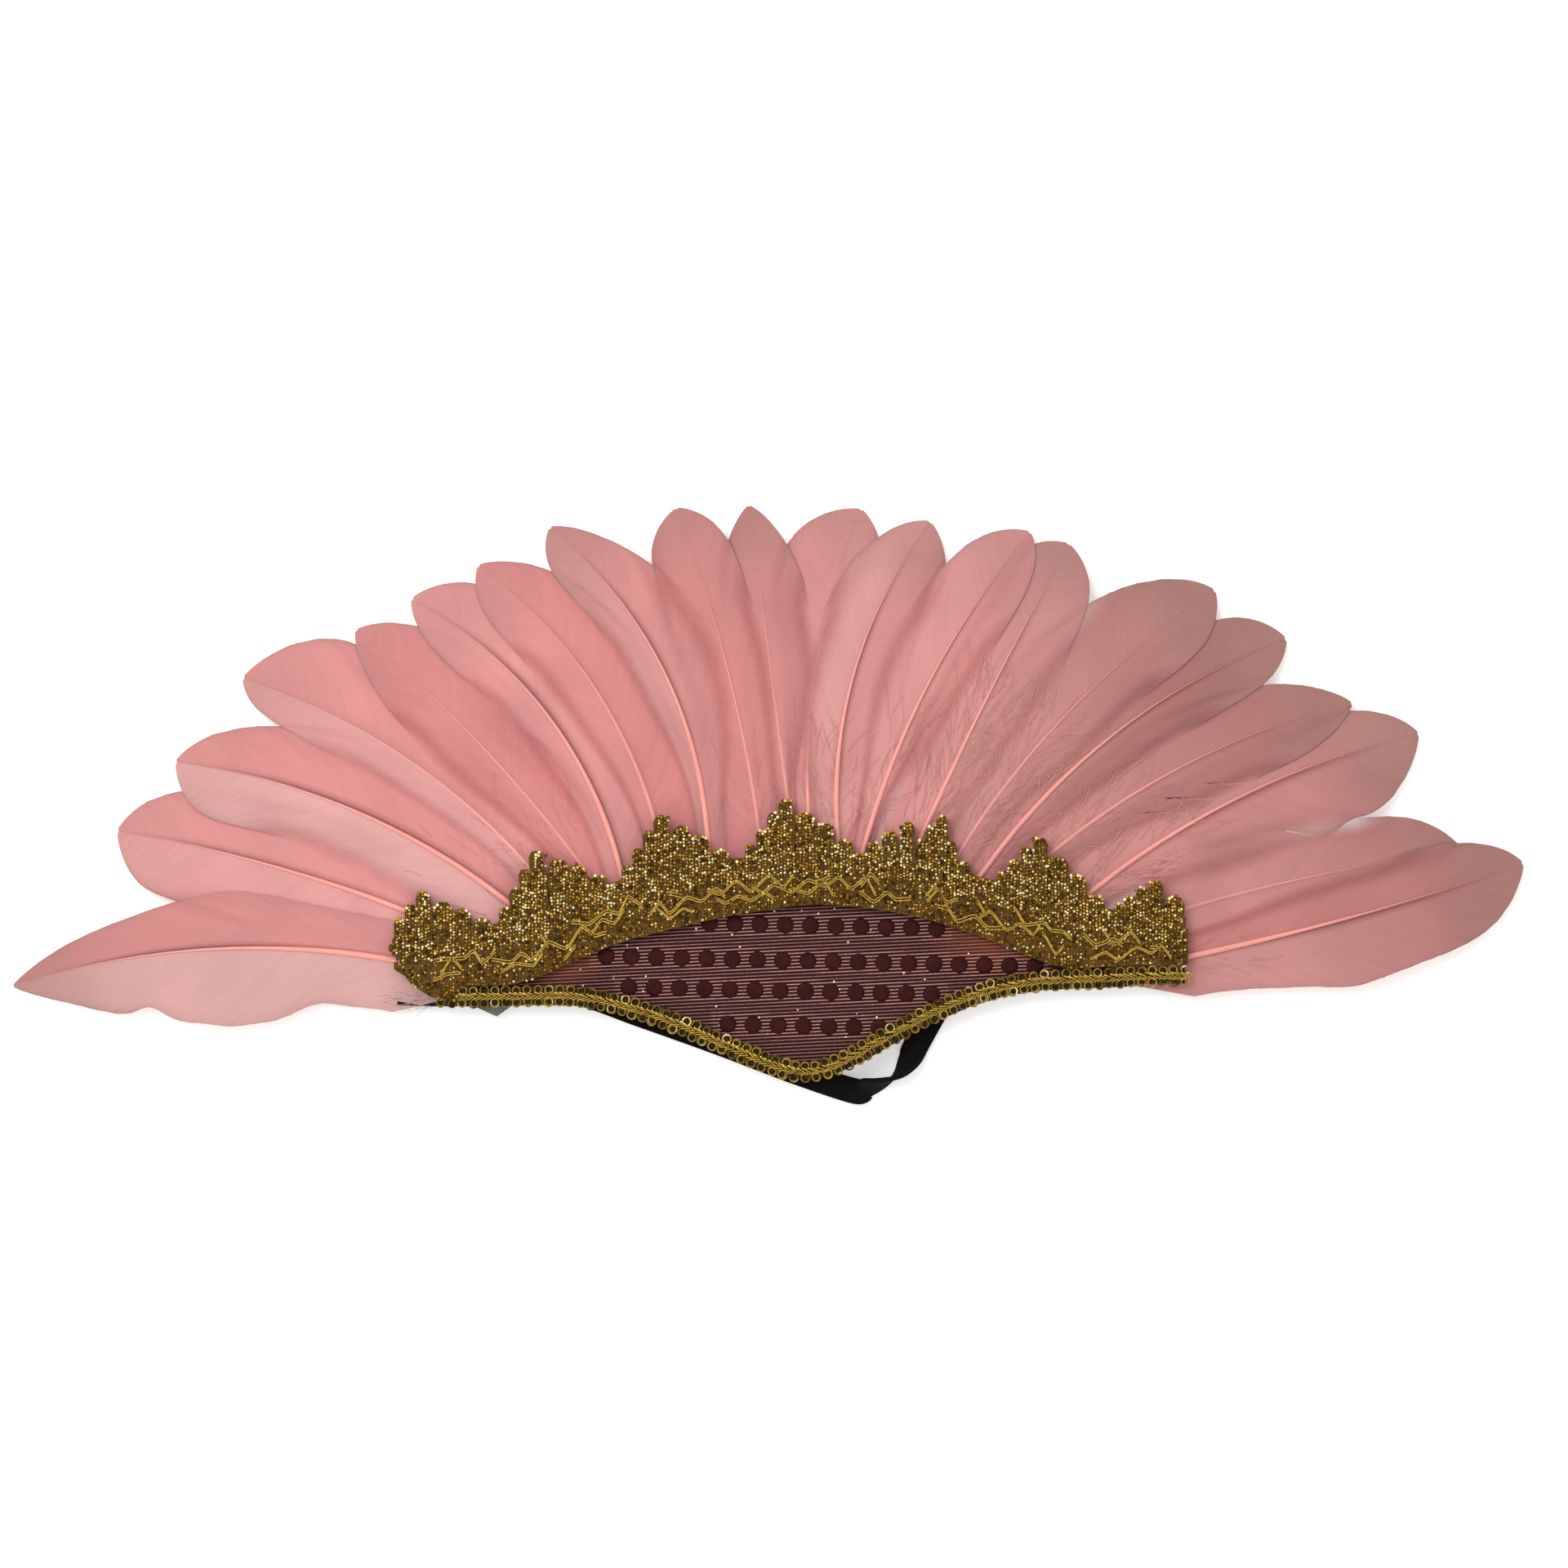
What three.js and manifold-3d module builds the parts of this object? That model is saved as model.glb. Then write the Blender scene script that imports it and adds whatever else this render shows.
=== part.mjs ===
// Carnival feather headdress lying on its back: twenty feathers fanned over a stiff base, a sequin cloth
// window, a crown lace over the feather roots, a looped braid along the hem and an elastic head band below.
// Millimetres. +X runs to the right end of the base, +Y to the middle feather tips, +Z up from the table.
import * as THREE from "three";
import { mergeVertices } from "three/addons/utils/BufferGeometryUtils.js";
import Module from "manifold-3d";

const wasm = await Module();
wasm.setup();

// Heights above the table of each layer, bottom and top
const BAND_Z = [0, 1.0];
const BACKING_Z = [1.3, 3.3];
const CLOTH_Z = [3.6, 5.5];
const LACE_Z = [6.0, 7.4];
const BRAID_Z = [5.8, 7.4];

const BRAID_WIDTH = 4.1;
const BRAID_LOOP_PITCH = 2.1;
const BRAID_ENDS_X = [-64.5, 82.0];
const BACKING_ENDS_X = [-73.2, 82.3];
const CLOTH_ENDS_X = [-59, 64];
const LACE_LEFT_X = -72.6;
const LACE_RIGHT_X = 82.6;
const BAND_WIDTH = 5;

// The base across X: its hem, the lower edge of the lace (the eye window's brow) and the line of the
// valleys between the crowns
const BASE_EDGES = [
  { x: -74.0, hem: -40.0, brow: -32.6, valley: -27.6 },
  { x: -68.0, hem: -40.2, brow: -35.9, valley: -27.0 },
  { x: -61.4, hem: -40.3, brow: -36.0, valley: -26.1 },
  { x: -48.5, hem: -40.1, brow: -35.4, valley: -22.5 },
  { x: -38.8, hem: -40.1, brow: -31.4, valley: -19.0 },
  { x: -29.1, hem: -41.9, brow: -27.5, valley: -15.5 },
  { x: -19.5, hem: -45.1, brow: -25.0, valley: -13.4 },
  { x: -9.8, hem: -49.3, brow: -22.7, valley: -11.8 },
  { x: -0.2, hem: -53.4, brow: -21.1, valley: -10.6 },
  { x: 7.1, hem: -55.0, brow: -20.1, valley: -10.1 },
  { x: 14.3, hem: -53.4, brow: -20.2, valley: -9.9 },
  { x: 24.0, hem: -48.0, brow: -21.4, valley: -11.1 },
  { x: 33.7, hem: -43.0, brow: -23.7, valley: -13.0 },
  { x: 43.3, hem: -39.1, brow: -26.9, valley: -15.3 },
  { x: 53.0, hem: -37.2, brow: -30.9, valley: -17.7 },
  { x: 58.1, hem: -36.9, brow: -32.6, valley: -19.1 },
  { x: 65.9, hem: -36.6, brow: -32.3, valley: -21.1 },
  { x: 73.9, hem: -36.2, brow: -31.9, valley: -23.0 },
  { x: 83.0, hem: -36.1, brow: -31.8, valley: -25.3 },
];

// One crown of the lace: the place of each finger along it from its peak, its height over the valley line
// and its half width
const CROWN_FINGERS = [
  { along: -6.9, height: 2.8, half: 1.15 },
  { along: -4.7, height: 5.6, half: 1.15 },
  { along: -2.5, height: 8.6, half: 1.15 },
  { along: 0.0, height: 11.2, half: 1.4 },
  { along: 4.0, height: 8.3, half: 1.75 },
  { along: 7.6, height: 6.0, half: 1.75 },
  { along: 11.3, height: 2.7, half: 1.75 },
];
// The fifth crown is crumpled: its peak is bent over to the right
const BENT_FINGERS = [
  { along: -6.9, height: 2.9, half: 1.3 },
  { along: -3.7, height: 5.6, half: 1.6 },
  { along: -0.3, height: 8.0, half: 1.3 },
  { along: 2.9, height: 5.4, half: 1.1 },
  { along: 4.6, height: 8.2, half: 1.2 },
  { along: 6.2, height: 10.6, half: 1.1 },
  { along: 8.1, height: 6.0, half: 1.3 },
  { along: 10.7, height: 2.6, half: 1.7 },
];
const CROWNS = [
  { x: -67.8, share: 0.86, fingers: CROWN_FINGERS.slice(1) },
  { x: -44.9, share: 1.07, fingers: CROWN_FINGERS },
  { x: -20.8, share: 1.02, fingers: CROWN_FINGERS },
  { x: 3.5, share: 1, fingers: CROWN_FINGERS },
  { x: 27.5, share: 1, fingers: BENT_FINGERS },
  { x: 53.0, share: 0.98, fingers: CROWN_FINGERS },
  { x: 75.9, share: 0.74, fingers: CROWN_FINGERS.slice(0, -2) },
];
const CROWN_FAN = 0.25; // share of the valley line's slope that the fingers lean with
const END_FINGER = { x: -72.4, y: -28.6, length: 2.5, half: 1.1 }; // points left off the end of the lace
const FINGER_FREE = 4.2; // length of a finger that stands free of its neighbours
const SLIT_HALF = 0.28;
const SLIT_LENGTH = 3.2;
const SLIT_BELOW_TIP = 5.4;

// The sequin dots: rows that drop a little to the right
const DOT_RADIUS = 2.1;
const DOT_PITCH = 4.97;
const DOT_RAISE = 0.25;
const DOT_ROW_SLOPE = -0.024;
const DOT_ROWS = [
  { firstX: -11.6, y: -23.7, count: 10 },
  { firstX: -32.0, y: -30.2, count: 19 },
  { firstX: -27.5, y: -36.3, count: 13 },
  { firstX: -8.0, y: -43.6, count: 7 },
];

// The head band's centre line, and its roll where it turns on edge at the end of the loop
const BAND_ROUTE = [
  { x: -66.2, y: -34.1, roll: 0 },
  { x: -51.7, y: -35.7, roll: 0 },
  { x: -38.8, y: -37.2, roll: 0 },
  { x: -25.1, y: -41.9, roll: 0 },
  { x: -8.9, y: -47.7, roll: 0 },
  { x: 3.9, y: -52.6, roll: 0 },
  { x: 14.3, y: -56.2, roll: 0 },
  { x: 19.6, y: -56.2, roll: 50 },
  { x: 24.6, y: -54.3, roll: 90 },
  { x: 27.6, y: -51.0, roll: 135 },
  { x: 30.0, y: -46.4, roll: 175 },
  { x: 33.6, y: -40.2, roll: 180 },
  { x: 40.1, y: -30.9, roll: 180 },
  { x: 49.0, y: -25.4, roll: 180 },
  { x: 61.0, y: -25.4, roll: 180 },
  { x: 70.7, y: -28.2, roll: 180 },
  { x: 77.9, y: -31.6, roll: 180 },
];

// The feathers from the left end to the right end. The root is where the quill comes out of the lace. The
// bow is the quill's bulge to its left, seen from root to tip, and ccw and cw are the vane's widths to its
// left and right. base is the share of that width at the root, ccwTip and cwTip how blunt each side ends,
// twist the left edge's tilt up in degrees, lift the rise over its neighbours and tipLift the tip's own rise.
const FEATHER_COLUMNS = [
  "rootX", "rootY", "tipX", "tipY", "bow", "ccw", "cw", "base", "ccwTip", "cwTip", "twist", "lift",
  "tipLift",
];
const FEATHER_ROWS = [
  [-72.6, -31.2, -149.3, -36.2, -4.8, 16.0, 11.4, 0.65, 1.6, 1.4, -8, 1.2, 0],
  [-70.7, -21.7, -128.7, -5.5, -1.6, 12.0, 11.0, 0.5, 7.0, 3.6, 0, -2.5, 0.6],
  [-51.4, -19.6, -117.2, 8.1, -4.9, 9.6, 12.2, 0.6, 10.0, 2.5, 7, -0.3, 0.4],
  [-47.2, -12.7, -103.9, 24.6, -4.6, 6.0, 16.5, 0.6, 6.0, 3.6, 7, -0.6, 0],
  [-37.5, -11.6, -81.5, 34.1, -2.1, 9.0, 12.0, 0.5, 3.5, 2.6, 8, 0.9, 0.8],
  [-28.8, -14.8, -70.5, 40.3, -7.6, 7.0, 13.0, 0.6, 8.0, 4.6, 8, 1.4, 0.4],
  [-22.2, -4.3, -57.3, 46.9, -5.3, 8.0, 12.0, 0.5, 8.0, 2.8, 8, 2.1, 0.6],
  [-12.1, -6.3, -43.2, 54.4, -7.1, 6.8, 12.0, 0.35, 12.0, 2.3, 0, 3.6, 0.5],
  [-2.1, -3.5, -18.2, 58.3, -1.7, 9.0, 8.4, 0.6, 9.0, 6.5, -9, 0, 0],
  [3.9, -0.3, -3.9, 58.8, 0.0, 7.5, 7.5, 0.2, 3.0, 3.6, -9, 0, 0],
  [7.9, -2.7, 18.4, 58.1, 3.5, 11.5, 9.0, 0.2, 4.6, 6.0, -2, -2.4, 0],
  [13.7, -8.4, 32.0, 55.6, 6.3, 9.6, 9.5, 0.5, 5.0, 9.0, 9, 0, 0],
  [18.8, -8.9, 51.7, 53.5, 3.9, 10.0, 7.5, 0.25, 4.4, 8.0, 0, 2.0, 0],
  [31.2, -4.3, 59.4, 51.2, 0.8, 8.0, 10.5, 0.5, 4.0, 7.0, -8, 0.6, 0],
  [39.0, -7.6, 88.2, 42.0, 3.7, 13.5, 8.5, 0.5, 3.8, 9.0, -8, 0.6, 0],
  [43.8, -11.6, 102.3, 32.4, 5.5, 10.0, 8.0, 0.5, 6.5, 9.0, -8, 0.2, 0],
  [55.4, -10.3, 115.3, 19.6, 4.0, 10.0, 9.0, 0.5, 3.2, 4.0, -8, -0.5, 1.2],
  [62.6, -18.4, 128.5, 13.7, 4.3, 10.0, 14.0, 0.4, 4.6, 6.0, -7, -1.9, 0.4],
  [82.0, -20.9, 137.0, -9.2, 1.0, 10.0, 8.0, 0.4, 3.8, 3.8, 0, -2.6, 0.4],
  [82.3, -30.4, 149.1, -11.9, -1.1, 9.0, 13.0, 0.6, 6.0, 4.2, -4, -0.5, 0.3],
];
const TUCK = [5, 12]; // least and most length of quill under the lace
const TUCK_BELOW_VALLEY = 4;
const QUILL_RADIUS = [0.65, 0.22]; // at the root and at the tip
const VANE_THICKNESS = [0.5, 0.3]; // beside the quill and at its edge
const VANE_STATIONS = [0, 0.08, 0.2, 0.32, 0.44, 0.56, 0.66, 0.75, 0.83, 0.9, 0.955, 1];
const FULL_WIDTH_FROM = 0.5;
const NARROWS_FROM = 0.4;
const TIP_POWER = 0.8;
const RISES_OVER = [0.1, 0.35]; // stretch of the feather over which it rises over its neighbours
const DROPS_OVER = [0, 0.16]; // and over which a low one drops under them
const TIP_LIFTS_OVER = [0.6, 1];
// The height of the quill along a feather
const FEATHER_ARCH = [
  { along: 0, z: 4.6 },
  { along: 0.16, z: 4.6 },
  { along: 0.45, z: 5.6 },
  { along: 0.75, z: 4.4 },
  { along: 1, z: 1.5 },
];

const COLOURS = {
  feather: "#dd918e",
  featherGrey: "#c48880",
  lace: "#8f6e33",
  braid: "#a58a48",
  cloth: "#53332f",
  felt: "#141110",
  elastic: "#0e0b0a",
};

function material(colour, roughness, metalness) {
  return new THREE.MeshStandardMaterial({ color: colour, roughness, metalness });
}

// A smooth function through a table's rows, read from two of its columns
function smoothThrough(rows, at, value) {
  const slope = (i) => {
    const a = rows[Math.max(0, i - 1)];
    const b = rows[Math.min(rows.length - 1, i + 1)];
    return (b[value] - a[value]) / (b[at] - a[at]);
  };
  return (x) => {
    let i = 0;
    while (i < rows.length - 2 && x > rows[i + 1][at]) i += 1;
    const [p, q] = [rows[i], rows[i + 1]];
    const width = q[at] - p[at];
    const t = THREE.MathUtils.clamp((x - p[at]) / width, 0, 1);
    const [t2, t3] = [t * t, t * t * t];
    return (
      (2 * t3 - 3 * t2 + 1) * p[value] +
      (t3 - 2 * t2 + t) * width * slope(i) +
      (3 * t2 - 2 * t3) * q[value] +
      (t3 - t2) * width * slope(i + 1)
    );
  };
}

const hemAt = smoothThrough(BASE_EDGES, "x", "hem");
const browAt = smoothThrough(BASE_EDGES, "x", "brow");
const valleyAt = smoothThrough(BASE_EDGES, "x", "valley");
const archAt = smoothThrough(FEATHER_ARCH, "along", "z");

function slopeOf(curve, x) {
  const step = 0.5;
  return (curve(x + step) - curve(x - step)) / (2 * step);
}

function spread(from, to, count) {
  return Array.from({ length: count }, (_, i) => THREE.MathUtils.lerp(from, to, i / (count - 1)));
}

// A closed solid skinned over rings with the same number of corners, with a fan over each end
function skin(rings) {
  const corners = rings[0].length;
  const positions = rings.flat().flatMap((p) => [p.x, p.y, p.z]);
  const faces = [];
  for (let r = 0; r < rings.length - 1; r += 1) {
    for (let c = 0; c < corners; c += 1) {
      const next = (c + 1) % corners;
      const [a, b] = [r * corners + c, r * corners + next];
      faces.push(a, b, b + corners, a, b + corners, a + corners);
    }
  }
  const last = (rings.length - 1) * corners;
  for (let c = 1; c < corners - 1; c += 1) {
    faces.push(0, c + 1, c, last, last + c, last + c + 1);
  }
  const geometry = new THREE.BufferGeometry();
  geometry.setAttribute("position", new THREE.Float32BufferAttribute(positions, 3));
  geometry.setIndex(faces);
  return geometry;
}

// A plate between two edge curves over X, cut across into rows so that its faces stay small
function plateBetween(lower, upper, [x0, x1], [z0, z1], stations, rows) {
  const rings = spread(x0, x1, stations).map((x) => {
    const ys = spread(lower(x), upper(x), rows + 1);
    const bottom = ys.map((y) => new THREE.Vector3(x, y, z0));
    const top = ys.map((y) => new THREE.Vector3(x, y, z1)).reverse();
    return [...bottom, ...top];
  });
  return skin(rings);
}

function solidOf(geometry) {
  const bare = geometry.clone();
  bare.deleteAttribute("normal");
  bare.deleteAttribute("uv");
  const merged = mergeVertices(bare, 1e-4);
  return new wasm.Manifold(
    new wasm.Mesh({
      numProp: 3,
      vertProperties: new Float32Array(merged.attributes.position.array),
      triVerts: new Uint32Array(merged.index.array),
    }),
  );
}

function geometryOf(solid) {
  const mesh = solid.getMesh();
  const geometry = new THREE.BufferGeometry();
  geometry.setAttribute("position", new THREE.BufferAttribute(mesh.vertProperties, 3));
  geometry.setIndex(new THREE.BufferAttribute(mesh.triVerts, 1));
  return geometry;
}

// The stiff felt plate, from the hem to just over the valleys of the crowns
function backingGeometry() {
  const lower = (x) => hemAt(x) + 0.1;
  const upper = (x) => valleyAt(x) + 0.5;
  return plateBetween(lower, upper, BACKING_ENDS_X, BACKING_Z, 23, 3);
}

// The sequin cloth, from under the braid to under the lace, with its visible dots raised on it
function clothGeometry() {
  const lower = (x) => hemAt(x) + 0.8;
  const upper = (x) => browAt(x) + 1.8;
  let cloth = solidOf(plateBetween(lower, upper, CLOTH_ENDS_X, CLOTH_Z, 25, 2));
  const sunk = 0.6;
  for (const row of DOT_ROWS) {
    for (let i = 0; i < row.count; i += 1) {
      const dot = new THREE.CylinderGeometry(DOT_RADIUS, DOT_RADIUS, sunk + DOT_RAISE, 8);
      dot.rotateX(Math.PI / 2);
      const along = i * DOT_PITCH;
      const z = CLOTH_Z[1] + (DOT_RAISE - sunk) / 2;
      dot.translate(row.firstX + along, row.y + along * DOT_ROW_SLOPE, z);
      cloth = cloth.add(solidOf(dot));
    }
  }
  return geometryOf(cloth);
}

// The outline of one finger from its foot: up its left side, round its tip and down its right side
function fingerOutline(foot, lean, height, half) {
  const up = new THREE.Vector2(-Math.sin(lean), Math.cos(lean));
  const across = new THREE.Vector2(up.y, -up.x);
  const at = (u, v) => foot.clone().addScaledVector(across, u).addScaledVector(up, v);
  const notch = Math.max(0, height - FINGER_FREE);
  const joined = half + 0.4;
  const round = [180, 120, 60, 0].map((degrees) => {
    const a = THREE.MathUtils.degToRad(degrees);
    return at(half * Math.cos(a), height - half + half * Math.sin(a));
  });
  return [
    at(-joined, -1), at(-joined, notch), at(-half, notch + 0.5), ...round,
    at(half, notch + 0.5), at(joined, notch), at(joined, -1),
  ];
}

// A narrow slit between two neighbouring fingers, through the lace below their notch
function slitOutline(crown, left, right) {
  const x = crown.x + (left.along + left.half + right.along - right.half) / 2;
  const top = valleyAt(x) + crown.share * Math.min(left.height, right.height) - SLIT_BELOW_TIP;
  return [
    new THREE.Vector2(x, top),
    new THREE.Vector2(x - SLIT_HALF, top - SLIT_LENGTH / 2),
    new THREE.Vector2(x, top - SLIT_LENGTH),
    new THREE.Vector2(x + SLIT_HALF, top - SLIT_LENGTH / 2),
  ];
}

// The crown lace: a band between the brow and the valley line, its crowns' fingers and their slits
function laceGeometry() {
  const across = spread(LACE_LEFT_X, LACE_RIGHT_X, 35);
  const brow = across.map((x) => new THREE.Vector2(x, browAt(x)));
  const valley = across.map((x) => new THREE.Vector2(x, valleyAt(x) + 0.3)).reverse();
  let lace = solidOf(extruded([...brow, ...valley], LACE_Z));
  const addFinger = (...finger) => {
    lace = lace.add(solidOf(extruded(fingerOutline(...finger), LACE_Z)));
  };
  for (const crown of CROWNS) {
    for (const finger of crown.fingers) {
      const x = crown.x + finger.along;
      const lean = Math.atan(slopeOf(valleyAt, x)) * CROWN_FAN;
      addFinger(new THREE.Vector2(x, valleyAt(x)), lean, crown.share * finger.height, finger.half);
    }
  }
  const end = END_FINGER;
  addFinger(new THREE.Vector2(end.x, end.y), Math.PI / 2, end.length, end.half);
  for (const crown of CROWNS) {
    const peak = crown.fingers.reduce((a, b) => (a.height > b.height ? a : b));
    const i = crown.fingers.indexOf(peak);
    for (const [left, right] of [[i - 1, i], [i, i + 1]]) {
      const slit = slitOutline(crown, crown.fingers[left], crown.fingers[right]);
      lace = lace.subtract(solidOf(extruded(slit, [LACE_Z[0] - 1, LACE_Z[1] + 1])));
    }
  }
  return geometryOf(lace);
}

function extruded(points, [z0, z1]) {
  const geometry = new THREE.ExtrudeGeometry(new THREE.Shape(points), {
    depth: z1 - z0,
    bevelEnabled: false,
    steps: 1,
  });
  geometry.translate(0, 0, z0);
  return geometry;
}

// The looped braid along the hem: two sections to a loop, wide at its crest and narrow between loops
function braidGeometry() {
  const route = spread(BRAID_ENDS_X[0], BRAID_ENDS_X[1], 90).map((x) => {
    const slope = slopeOf(hemAt, x);
    const inward = new THREE.Vector2(-slope, 1).normalize().multiplyScalar(BRAID_WIDTH / 2);
    return new THREE.Vector3(x + inward.x, hemAt(x) + inward.y, 0);
  });
  const curve = new THREE.CatmullRomCurve3(route);
  const sections = 2 * Math.round(curve.getLength() / BRAID_LOOP_PITCH);
  const height = BRAID_Z[1] - BRAID_Z[0];
  const rings = spread(0, 1, sections + 1).map((t, i) => {
    const half = (BRAID_WIDTH / 2) * (i % 2 ? 1 : 0.76);
    const at = curve.getPointAt(t);
    const ahead = curve.getTangentAt(t);
    const left = new THREE.Vector3(-ahead.y, ahead.x, 0);
    const corner = (u, z) => at.clone().addScaledVector(left, u * half).setZ(BRAID_Z[0] + z * height);
    return [
      corner(1, 0.45), corner(0.55, 1), corner(-0.55, 1), corner(-1, 0.45), corner(-0.6, 0), corner(0.6, 0),
    ];
  });
  return skin(rings);
}

// The flat elastic band, rolled on edge at the end of its loop, its lowest edge always on the table
function bandGeometry() {
  const curve = new THREE.CatmullRomCurve3(BAND_ROUTE.map((p) => new THREE.Vector3(p.x, p.y, p.roll)));
  const thick = BAND_Z[1] - BAND_Z[0];
  const rings = spread(0, 1, 49).map((t) => {
    const at = curve.getPoint(t);
    const ahead = curve.getTangent(t).setZ(0).normalize();
    const left = new THREE.Vector3(-ahead.y, ahead.x, 0);
    const roll = THREE.MathUtils.degToRad(THREE.MathUtils.clamp(at.z, 0, 180));
    const [c, s] = [Math.cos(roll), Math.sin(roll)];
    const centre = (Math.abs(c) * thick + s * BAND_WIDTH) / 2;
    return [[1, 1], [-1, 1], [-1, -1], [1, -1]].map(([u, w]) => {
      const [side, up] = [(u * BAND_WIDTH) / 2, (w * thick) / 2];
      const out = at.clone().addScaledVector(left, side * c - up * s);
      return out.setZ(centre + side * s + up * c);
    });
  });
  return skin(rings);
}

// The share of a vane side's full width at a place along the feather, from 0 at the root to 1 at the tip
function vaneShare(along, base, tip) {
  const opened = base + (1 - base) * THREE.MathUtils.smoothstep(along, 0, FULL_WIDTH_FROM);
  const s = Math.max(0, (along - NARROWS_FROM) / (1 - NARROWS_FROM));
  return opened * (1 - s ** tip) ** TIP_POWER;
}

// One feather: a quill with a thin vane on each side, curled down to its tip
function featherGeometry(row) {
  const root = new THREE.Vector2(row.rootX, row.rootY);
  const tip = new THREE.Vector2(row.tipX, row.tipY);
  const chord = tip.clone().sub(root);
  const toLeft = new THREE.Vector2(-chord.y, chord.x).normalize();
  const middle = root.clone().lerp(tip, 0.5).addScaledVector(toLeft, 2 * row.bow);
  const quill = new THREE.QuadraticBezierCurve(root, middle, tip);
  const outward = quill.getTangent(0);

  let tuck = TUCK[0];
  const tucked = (length) => root.clone().addScaledVector(outward, -length);
  while (tuck < TUCK[1] && tucked(tuck).y > valleyAt(tucked(tuck).x) - TUCK_BELOW_VALLEY) tuck += 0.5;

  const section = (at, ahead, along, ccw, cw) => {
    const left = new THREE.Vector2(-ahead.y, ahead.x);
    const twist = THREE.MathUtils.degToRad(row.twist) * (1 - 0.35 * along);
    const [c, s] = [Math.cos(twist), Math.sin(twist)];
    const liftsOver = row.lift < 0 ? DROPS_OVER : RISES_OVER;
    const rise = row.lift * THREE.MathUtils.smoothstep(along, ...liftsOver) * (1 - 0.5 * along);
    const tipRise = row.tipLift * THREE.MathUtils.smoothstep(along, ...TIP_LIFTS_OVER);
    const z = archAt(along) + rise + tipRise;
    const radius = THREE.MathUtils.lerp(QUILL_RADIUS[0], QUILL_RADIUS[1], along);
    const [thick, edge] = VANE_THICKNESS.map((v) => (v / 2) * (1 - 0.4 * along));
    const corner = (u, w) => {
      const flat = at.clone().addScaledVector(left, u * c - w * s);
      return new THREE.Vector3(flat.x, flat.y, z + u * s + w * c);
    };
    return [
      corner(ccw, edge), corner(radius, thick), corner(0, radius), corner(-radius, thick),
      corner(-cw, edge), corner(-cw, -edge), corner(0, -Math.max(radius, thick)), corner(ccw, -edge),
    ];
  };
  const bare = QUILL_RADIUS[0] + 0.25;
  const rings = [section(tucked(tuck), outward, 0, bare, bare), section(tucked(2), outward, 0, bare, bare)];
  for (const along of VANE_STATIONS) {
    const ccw = row.ccw * vaneShare(along, row.base, row.ccwTip);
    const cw = row.cw * vaneShare(along, row.base, row.cwTip);
    const least = QUILL_RADIUS[1] + 0.15;
    rings.push(
      section(quill.getPoint(along), quill.getTangent(along), along, Math.max(ccw, least), Math.max(cw, least)),
    );
  }
  return skin(rings);
}

const headdress = new THREE.Group();
headdress.name = "carnival_feather_headdress";

function addPiece(name, geometry, look) {
  const mesh = new THREE.Mesh(geometry, look);
  mesh.name = name;
  headdress.add(mesh);
}

addPiece("backing", backingGeometry(), material(COLOURS.felt, 0.95, 0));
addPiece("sequin_panel", clothGeometry(), material(COLOURS.cloth, 0.5, 0.3));
addPiece("crown_lace", laceGeometry(), material(COLOURS.lace, 0.4, 0.8));
addPiece("edge_braid", braidGeometry(), material(COLOURS.braid, 0.35, 0.8));
addPiece("elastic_band", bandGeometry(), material(COLOURS.elastic, 0.9, 0));
FEATHER_ROWS.forEach((values, i) => {
  const row = Object.fromEntries(FEATHER_COLUMNS.map((column, c) => [column, values[c]]));
  const colour = i < 13 ? COLOURS.feather : COLOURS.featherGrey;
  addPiece(`feather_${String(i + 1).padStart(2, "0")}`, featherGeometry(row), material(colour, 0.7, 0));
});

export default headdress;
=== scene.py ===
import math

import bmesh
import bpy
import numpy as np
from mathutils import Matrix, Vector
from mathutils.bvhtree import BVHTree


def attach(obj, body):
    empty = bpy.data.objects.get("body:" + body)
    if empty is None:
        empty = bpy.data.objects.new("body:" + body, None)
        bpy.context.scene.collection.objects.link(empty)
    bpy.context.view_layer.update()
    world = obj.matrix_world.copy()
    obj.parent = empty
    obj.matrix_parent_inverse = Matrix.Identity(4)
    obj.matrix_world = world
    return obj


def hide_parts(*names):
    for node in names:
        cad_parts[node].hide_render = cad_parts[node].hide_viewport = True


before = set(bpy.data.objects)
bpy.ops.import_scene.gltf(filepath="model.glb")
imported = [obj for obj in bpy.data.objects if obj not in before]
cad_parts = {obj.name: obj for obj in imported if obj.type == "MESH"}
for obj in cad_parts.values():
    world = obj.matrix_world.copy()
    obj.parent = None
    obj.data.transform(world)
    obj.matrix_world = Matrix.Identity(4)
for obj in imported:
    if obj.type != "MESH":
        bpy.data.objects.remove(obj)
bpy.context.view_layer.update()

# The table and the light
# The headdress lies face up on a white light table, in the even light of a photographer's tent: a pale sky
# all round and one large soft lamp above the left shoulder. The camera hangs straight above the base.
# Lengths are in millimetres. Those of the lamp, the camera's clip distance, the shaders and the sheet's flat
# size are in metres, and so is every length that is multiplied by MM.
MM = 0.001
FRAME_WIDTH = 309.2 * MM
FRAME_CENTRE = Vector((3.06, 3.70, 4.0)) * MM
LENS = 200
SENSOR = 36
LAMP_PLACE = Vector((-0.55, 0.5, 1.3))
LAMP_SIZE = 0.8
LAMP_WATTS = 9.0
SKY_STRENGTH = 0.92

camera_data = bpy.data.cameras.new("camera")
camera_data.lens = LENS
camera_data.sensor_width = SENSOR
camera_data.clip_end = 20
camera = bpy.data.objects.new("camera", camera_data)
camera.location = FRAME_CENTRE + Vector((0, 0, FRAME_WIDTH * LENS / SENSOR))
bpy.context.collection.objects.link(camera)
bpy.context.scene.camera = camera
bpy.context.scene.view_settings.view_transform = "Standard"

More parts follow.
